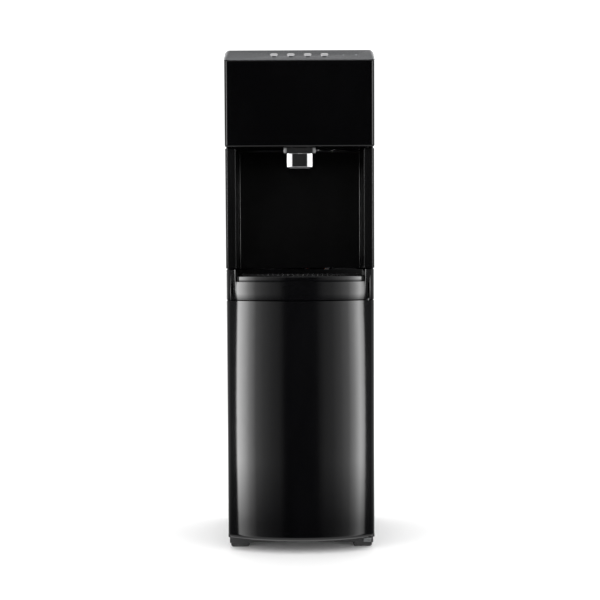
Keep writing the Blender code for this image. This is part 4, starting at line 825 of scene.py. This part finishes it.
for number, x in enumerate(strip["lamps"]):
    place = onStrip(x, strip["row"])
    lamp = newRod("indicatorLamp%d" % (number + 1), place - Vector((0, 0, 0.0014)), 0.0015, 0.0034, "Z", 24)
    pick(lamp, lambda f: f.normal.z > 0.9)
    bpy.ops.mesh.inset(thickness=0.0004, depth=0.0002)
    bpy.ops.mesh.inset(thickness=0.0005, depth=0.0001)
    bpy.ops.object.mode_set(mode="OBJECT")
    tilt(lamp, degrees(slope), place)
    smoothOff(lamp, 50)
    done(lamp, "cabinet", lens, "indicator_lens_%d" % (number + 1))
print("head, strip and buttons built")

# top cover
cover = {"shoulder": 0.010, "side": 0.010, "wall": 0.0025}
coverFront = stripBack + clearance
topCover = newBox("topCover", (-half, half), (coverFront, cabinet["bodyBack"]), (low, high))
roundEdges(topCover, lambda e: lying(e, high) and min(abs(v.co.x) for v in e.verts) > half - 0.0001,
           cover["shoulder"], 10)
carve(topCover, newBox("coverTool", (-half + cover["side"], half - cover["side"]),
                       (coverFront + cover["wall"], cabinet["bodyBack"] - cover["wall"]),
                       (low - 0.01, high - cover["wall"])))
soften(topCover, 0.0006, 3, 40)
done(topCover, "cabinet", black, "top_cover")

# nozzle: collar under the head and the spout below it
nozzle = {"y": -0.118, "collar": (0.070, 0.046), "spout": (0.057, 0.040), "cornerRound": 0.004,
          "collarTop": 0.8417, "collarLow": 0.8302, "spoutTop": 0.8299, "spoutLow": 0.8009, "wall": 0.002,
          "collarFlat": 0.054, "collarTurn": 26, "spoutFlat": 0.031, "spoutTurn": 15.5, "side": 0.004}


def nozzleBody(name, width, depth, flat, turned, low, high):
    # flat front between two turned cheeks, then round corners
    body = newBox(name, (-width / 2, width / 2),
                  (nozzle["y"] - depth / 2, nozzle["y"] + depth / 2), (low, high))
    frontY = nozzle["y"] - depth / 2
    for side in (-1, 1):
        slicePiece(body, (side * flat / 2, frontY, low),
                   (side * sin(radians(turned)), -cos(radians(turned)), 0))
    outward(body)
    roundEdges(body, lambda e: upright(e) and abs(e.verts[0].co.x) > width / 2 - 0.001,
               nozzle["cornerRound"], 8)
    return body


width, depth = nozzle["collar"]
collar = nozzleBody("nozzleCollar", width, depth, nozzle["collarFlat"], nozzle["collarTurn"],
                    nozzle["collarLow"], nozzle["collarTop"])
pick(collar, lambda f: f.normal.z < -0.9)
bpy.ops.mesh.inset(thickness=0.003, depth=0)
bpy.ops.mesh.inset(thickness=0.0006, depth=-0.0006)
bpy.ops.object.mode_set(mode="OBJECT")
shank = newBox("shank", (-0.020, 0.020), (nozzle["y"] - 0.013, nozzle["y"] + 0.013), (0.8400, 0.8445))
roundEdges(shank, upright, 0.006, 6)
weld(collar, shank)
carve(collar, newRod("boreTool", (0, nozzle["y"], 0.84), 0.0068, 0.04, "Z", 40))
soften(collar, 0.0009, 3, 40)
smoothOff(collar, 12)
done(collar, "cabinet", chrome, "nozzle_collar")

width, depth = nozzle["spout"]
spout = nozzleBody("spoutBody", width, depth, nozzle["spoutFlat"], nozzle["spoutTurn"],
                   nozzle["spoutLow"], nozzle["spoutTop"])
roundEdges(spout, lambda e: lying(e, nozzle["spoutLow"]), 0.0022, 5)
hollowX, hollowY = width / 2 - nozzle["side"], depth / 2 - nozzle["side"]
spoutTool = newBox("spoutTool", (-hollowX, hollowX), (nozzle["y"] - hollowY, nozzle["y"] + hollowY),
                   (nozzle["spoutLow"] - 0.01, nozzle["spoutTop"] - nozzle["wall"]))
roundEdges(spoutTool, upright, 0.0065, 8)
carve(spout, spoutTool)
weld(spout, newRod("stem", (0, nozzle["y"], 0.8355), 0.0065, 0.0130, "Z", 40))
carve(spout, newRod("boreTool", (0, nozzle["y"], 0.835), 0.0050, 0.06, "Z", 40))
soften(spout, 0.0004, 2, 50)
smoothOff(spout, 12)
done(spout, "cabinet", chrome, "spout")
print("nozzle built")

# side panels: folded sheet with rounded folds
sheet = {"thick": 0.0012, "x": 0.1535, "front": -0.1172, "back": 0.160, "flange": 0.006, "rearFlange": 0.012,
         "fold": 0.0020, "low": 0.0313, "high": 1.018}
fold = sheet["fold"]
for side, name, node in ((-1, "sidePanelLeft", "side_panel_left"), (1, "sidePanelRight", "side_panel_right")):
    startX = side * (sheet["x"] - sheet["flange"])
    panel = newLine(name, (startX, sheet["front"], sheet["low"]), (startX, sheet["front"], sheet["high"]))
    go(side * (sheet["flange"] - fold), 0, 0)
    turn((side * (sheet["x"] - fold), sheet["front"] + fold, 0), 90 * side, 6)
    go(0, sheet["back"] - sheet["front"] - 2 * fold, 0)
    turn((side * (sheet["x"] - fold), sheet["back"] - fold, 0), 90 * side, 6)
    go(-side * (sheet["rearFlange"] - fold), 0, 0)
    bpy.ops.object.mode_set(mode="OBJECT")
    outward(panel)
    flat = max(panel.data.polygons, key=lambda f: f.area)
    thicken(panel, sheet["thick"], -1 if flat.normal.x * side > 0 else 1)
    smoothOff(panel, 40)
    done(panel, "cabinet", paint, node)
print("side panels built")

# rear panel with vents and its openings
rear = {"slots": 6, "slotSize": (0.090, 0.006), "slotX": 0.0693, "slotPitch": 0.062, "lowest": 0.638,
        "inlet": (0.0883, 0.578, 0.0243, 0.0143), "switches": (0.0883, 0.988, 0.0173, 0.0133),
        "drain": (0.0155, 0.586, 0.0083)}
back = cabinet["bodyBack"]
rearPanel = newBox("rearPanel", (-half + 0.001, half - 0.001), (back - sheet["thick"], back),
                   (sheet["low"], sheet["high"]))
tools = []
for row in range(rear["slots"]):
    z = rear["lowest"] + row * rear["slotPitch"] + rear["slotSize"][1] / 2
    for side in (-1, 1):
        x = side * rear["slotX"]
        tool = newBox("ventTool", (x - rear["slotSize"][0] / 2, x + rear["slotSize"][0] / 2),
                      (back - 0.02, back + 0.02), (z - rear["slotSize"][1] / 2, z + rear["slotSize"][1] / 2))
        roundEdges(tool, lambda e: abs(e.verts[0].co.y - e.verts[1].co.y) > 0.01, 0.0029, 6)
        tools.append(tool)
for x, z, wide, tall in (rear["inlet"], rear["switches"]):
    tools.append(newBox("openingTool", (x - wide, x + wide), (back - 0.02, back + 0.02), (z - tall, z + tall)))
x, z, radius = rear["drain"]
tools.append(newRod("openingTool", (x, back, z), radius, 0.04, "Y", 32))
carve(rearPanel, together("ventTools", tools))
smoothOff(rearPanel, 30)
soften(rearPanel, 0.0003, 2, 50)
done(rearPanel, "cabinet", paint, "rear_panel")

# condenser: one bent pipe, with upright wires over it
condenser = {"width": 0.240, "runs": 10, "pitch": 0.034, "pipe": 0.0025, "wire": 0.0008, "wirePitch": 0.0135,
             "low": 0.633, "off": 0.004, "barOut": 0.006, "wireEnd": 0.0068}
pipeY = back + condenser["off"] + condenser["pipe"]
reach = condenser["width"] / 2 - condenser["pitch"] / 2
pipe = newRing("condenserPipe", (-reach, pipeY, condenser["low"]), condenser["pipe"], "X", 12)
for run in range(condenser["runs"]):
    side = 1 if run % 2 == 0 else -1
    go(side * 2 * reach, 0, 0)
    if run < condenser["runs"] - 1:
        level = condenser["low"] + (run + 0.5) * condenser["pitch"]
        turn((side * reach, pipeY, level), -180 * side, 10, (0, 1, 0))
bpy.ops.mesh.select_all(action="SELECT")
bpy.ops.mesh.fill_holes(sides=0)
outward(pipe)
smoothOff(pipe, 50)
done(pipe, "cabinet", matte, "condenser_coil")

count = int(condenser["width"] / condenser["wirePitch"])
wireY = pipeY + condenser["pipe"] + clearance + condenser["wire"]
top = condenser["low"] + (condenser["runs"] - 1) * condenser["pitch"]
rods = []
for number in range(count):
    x = (number - (count - 1) / 2) * condenser["wirePitch"]
    rods.append(newRod("wire", (x, wireY, (condenser["low"] + top) / 2), condenser["wire"],
                       top - condenser["low"] + 2 * condenser["wireEnd"], "Z", 10))
span = (count - 1) * condenser["wirePitch"] + 2 * condenser["wire"]
for z in (condenser["low"] - condenser["barOut"], (condenser["low"] + top) / 2, top + condenser["barOut"]):
    rods.append(newRod("bar", (0, wireY, z), condenser["wire"] * 0.98, span, "X", 10))
wires = together("condenserWires", rods)
smoothOff(wires, 50)
done(wires, "cabinet", matte, "condenser_wires")
print("rear built")

# bottle bay: its liner and the probe that reaches into the bottle
bay = {"half": 0.1415, "back": 0.157, "corner": 0.030, "wall": 0.0015, "low": 0.0313, "high": 0.5269,
       "outer": 0.1525, "mouth": 0.001}
mouthY = cabinet["frameFront"] + bay["mouth"]
bayLiner = newLine("bayLiner", (-bay["outer"], cabinet["frameFront"], bay["low"]),
                   (-bay["outer"], cabinet["frameFront"], bay["high"]))
go(bay["outer"] - bay["half"] - bay["mouth"], 0, 0)
turn((-bay["half"] - bay["mouth"], mouthY, 0), 90, 4)
depth = bay["back"] - mouthY - bay["corner"]
go(0, depth, 0)
turn((-bay["half"] + bay["corner"], bay["back"] - bay["corner"], 0), -90, 16)
go(2 * (bay["half"] - bay["corner"]), 0, 0)
turn((bay["half"] - bay["corner"], bay["back"] - bay["corner"], 0), -90, 16)
go(0, -depth, 0)
turn((bay["half"] + bay["mouth"], mouthY, 0), 90, 4)
go(bay["outer"] - bay["half"] - bay["mouth"], 0, 0)
bpy.ops.object.mode_set(mode="OBJECT")
outward(bayLiner)
middle = min(bayLiner.data.polygons, key=lambda f: (f.center - Vector((0, bay["back"], 0.28))).length)
thicken(bayLiner, bay["wall"], -1 if middle.normal.y < 0 else 1)
smoothOff(bayLiner, 40)
done(bayLiner, "cabinet", satin, "bay_liner")

probe = {"x": -0.114, "y": -0.090, "low": 0.116, "length": 0.390, "tube": 0.0065, "cap": 0.022}
low, high = probe["low"], probe["low"] + probe["length"]
tube, cap = probe["tube"], probe["cap"]
outline = [(0.0005, low - 0.004), (0.0040, low - 0.004), (tube + 0.0015, low), (tube + 0.0015, low + 0.018),
           (tube, low + 0.020), (tube, high - 0.022), (cap - 0.003, high - 0.018), (cap, high - 0.017),
           (cap, high - 0.004), (cap - 0.001, high - 0.0015), (cap - 0.004, high), (0.0075, high),
           (0.0045, high + 0.004), (0.0045, high + 0.0065), (0.0040, high + 0.0075), (0.0045, high + 0.0085),
           (0.0040, high + 0.0105), (0.0036, high + 0.012), (0.0005, high + 0.012)]
bottleProbe = newLine("bottleProbe", (probe["x"] + outline[0][0], probe["y"], outline[0][1]),
                      (probe["x"] + outline[1][0], probe["y"], outline[1][1]))
pick(bottleProbe, lambda v: abs(v.co.x - probe["x"] - outline[1][0]) < 0.0001, "VERT")
for first, second in zip(outline[1:], outline[2:]):
    go(second[0] - first[0], 0, second[1] - first[1])
bpy.ops.mesh.select_all(action="SELECT")
turn((probe["x"], probe["y"], 0), 360, 40)
bpy.ops.mesh.select_all(action="SELECT")
bpy.ops.mesh.remove_doubles(threshold=0.00001)
bpy.ops.mesh.fill_holes(sides=0)
outward(bottleProbe)
smoothOff(bottleProbe, 35)
done(bottleProbe, "cabinet", white, "bottle_probe")
print("bay built")

# stage, light and camera
floor = newBox("studioFloor", (-40, 40), (-20, 60), (-0.02, 0))
floorLook = Look("studio_floor")
floor.data.materials.clear()
floor.data.materials.append(floorLook.dress({
    "Base Color": floorLook.tone(floorLook.noise(3, 3.0), (0.94, 0.94, 0.94), (0.96, 0.96, 0.96)),
    "Roughness": 0.9,
}))
floor.visible_glossy = False

# what the polished faces mirror: a tall soft box at each side, a dim ceiling and the pale table below
studio = {
    "leftBox": ((-52, 0.20), (-49.4, 0.25), (-48.2, 13.0), (-43.6, 8.6), (-39, 4.0), (-33.6, 1.3), (-28, 0.74),
                (-22, 0.44), (-16, 0.27), (-12, 0.06), (-9, 0.02)),
    "rightBox": ((9, 0.02), (12, 0.05), (17.8, 0.30), (23.8, 0.46), (29.7, 0.90), (36, 1.8), (40.4, 4.3),
                 (45.2, 9.5), (48.2, 6.5), (49.6, 0.24), (53, 0.20)),
    "sides": 0.6,
    "ceiling": 0.55,
    "table": 0.8,
}
world = bpy.data.worlds.new("studio")
bpy.context.scene.world = world
world.use_nodes = True


class Sky(Look):
    # the same node tools, on the world
    def __init__(self, sky):
        self.tree = sky.node_tree
        self.place = self.node("TexCoord", {}, {}, "Generated")


sky = Sky(world)
parts = sky.tree.nodes.new("ShaderNodeSeparateXYZ")
sky.tree.links.new(sky.place.socket, parts.inputs[0])
east, north, rise = (Wire(sky, socket) for socket in parts.outputs)
azimuth = sky.node("Math", {"operation": "ARCTAN2"}, {0: east, 1: 0 - north}) * (180 / pi)


def softBox(stops):
    # brightness over the azimuth, as straight runs between the stops
    total = stops[0][1]
    for (firstAngle, first), (nextAngle, following) in zip(stops, stops[1:]):
        total = total + sky.spread(azimuth, firstAngle, nextAngle, 0.0, following - first)
    return total


boxes = softBox(((-180, 1.2), (-135, 2.5), (-110, studio["sides"]), (-75, studio["sides"]), (-60, 0.30))
                + studio["leftBox"] + studio["rightBox"]
                + ((60, 0.24), (75, studio["sides"]), (110, studio["sides"]), (135, 2.5), (180, 1.2)))
level = (sky.spread(rise, 0.55, 0.75, 1.0, 0.0) * sky.spread(rise, -0.75, -0.5, 0.0, 1.0)
         * sky.spread(rise, -0.30, -0.13, 0.25, 1.0))
ceiling = sky.spread(rise, 0.55, 0.80) * (studio["ceiling"] + sky.spread(north, 0.5, -0.5, 0.0, 0.9))
table = sky.spread(rise, -0.75, -0.5, 1.0, 0.0) * studio["table"]
mirrored = sky.node("Background", {}, {"Color": (1, 1, 1, 1), "Strength": boxes * level + ceiling + table})
even = sky.node("Background", {}, {"Color": (1, 1, 1, 1), "Strength": 1.2})
isGloss = sky.node("LightPath", {}, {}, "Is Glossy Ray")
blend = sky.tree.nodes.new("ShaderNodeMixShader")
sky.tree.links.new(isGloss.socket, blend.inputs[0])
sky.tree.links.new(even.socket, blend.inputs[1])
sky.tree.links.new(mirrored.socket, blend.inputs[2])
sky.tree.links.new(blend.outputs[0], world.node_tree.nodes["World Output"].inputs["Surface"])


def addLight(name, place, size, power):
    # an area light turned to the cabinet's middle, out of sight of the polished faces
    data = bpy.data.lights.new(name, "AREA")
    data.shape = "RECTANGLE"
    data.size, data.size_y = size
    data.energy = power
    lamp = bpy.data.objects.new(name, data)
    bpy.context.scene.collection.objects.link(lamp)
    lamp.location = place
    lamp.rotation_euler = (Vector((0, 0, 0.5)) - Vector(place)).to_track_quat("-Z", "Y").to_euler()
    lamp.visible_glossy = False


addLight("softLeft", (-2.2, -2.1, 1.2), (0.9, 2.2), 16)
addLight("softRight", (2.2, -2.0, 1.2), (0.9, 2.2), 14)
addLight("softTop", (0, 0.3, 2.8), (2.0, 2.0), 14)

scene = bpy.context.scene
scene.view_settings.view_transform = "Standard"
cameraData = bpy.data.cameras.new("camera")
cameraData.sensor_width = 36
cameraData.lens = 76.2
camera = bpy.data.objects.new("camera", cameraData)
scene.collection.objects.link(camera)
camera.location = (0, -2.78, 0.682)
camera.rotation_euler = (radians(90 - 3.38), radians(0.28), 0)
scene.camera = camera
print("studio set")
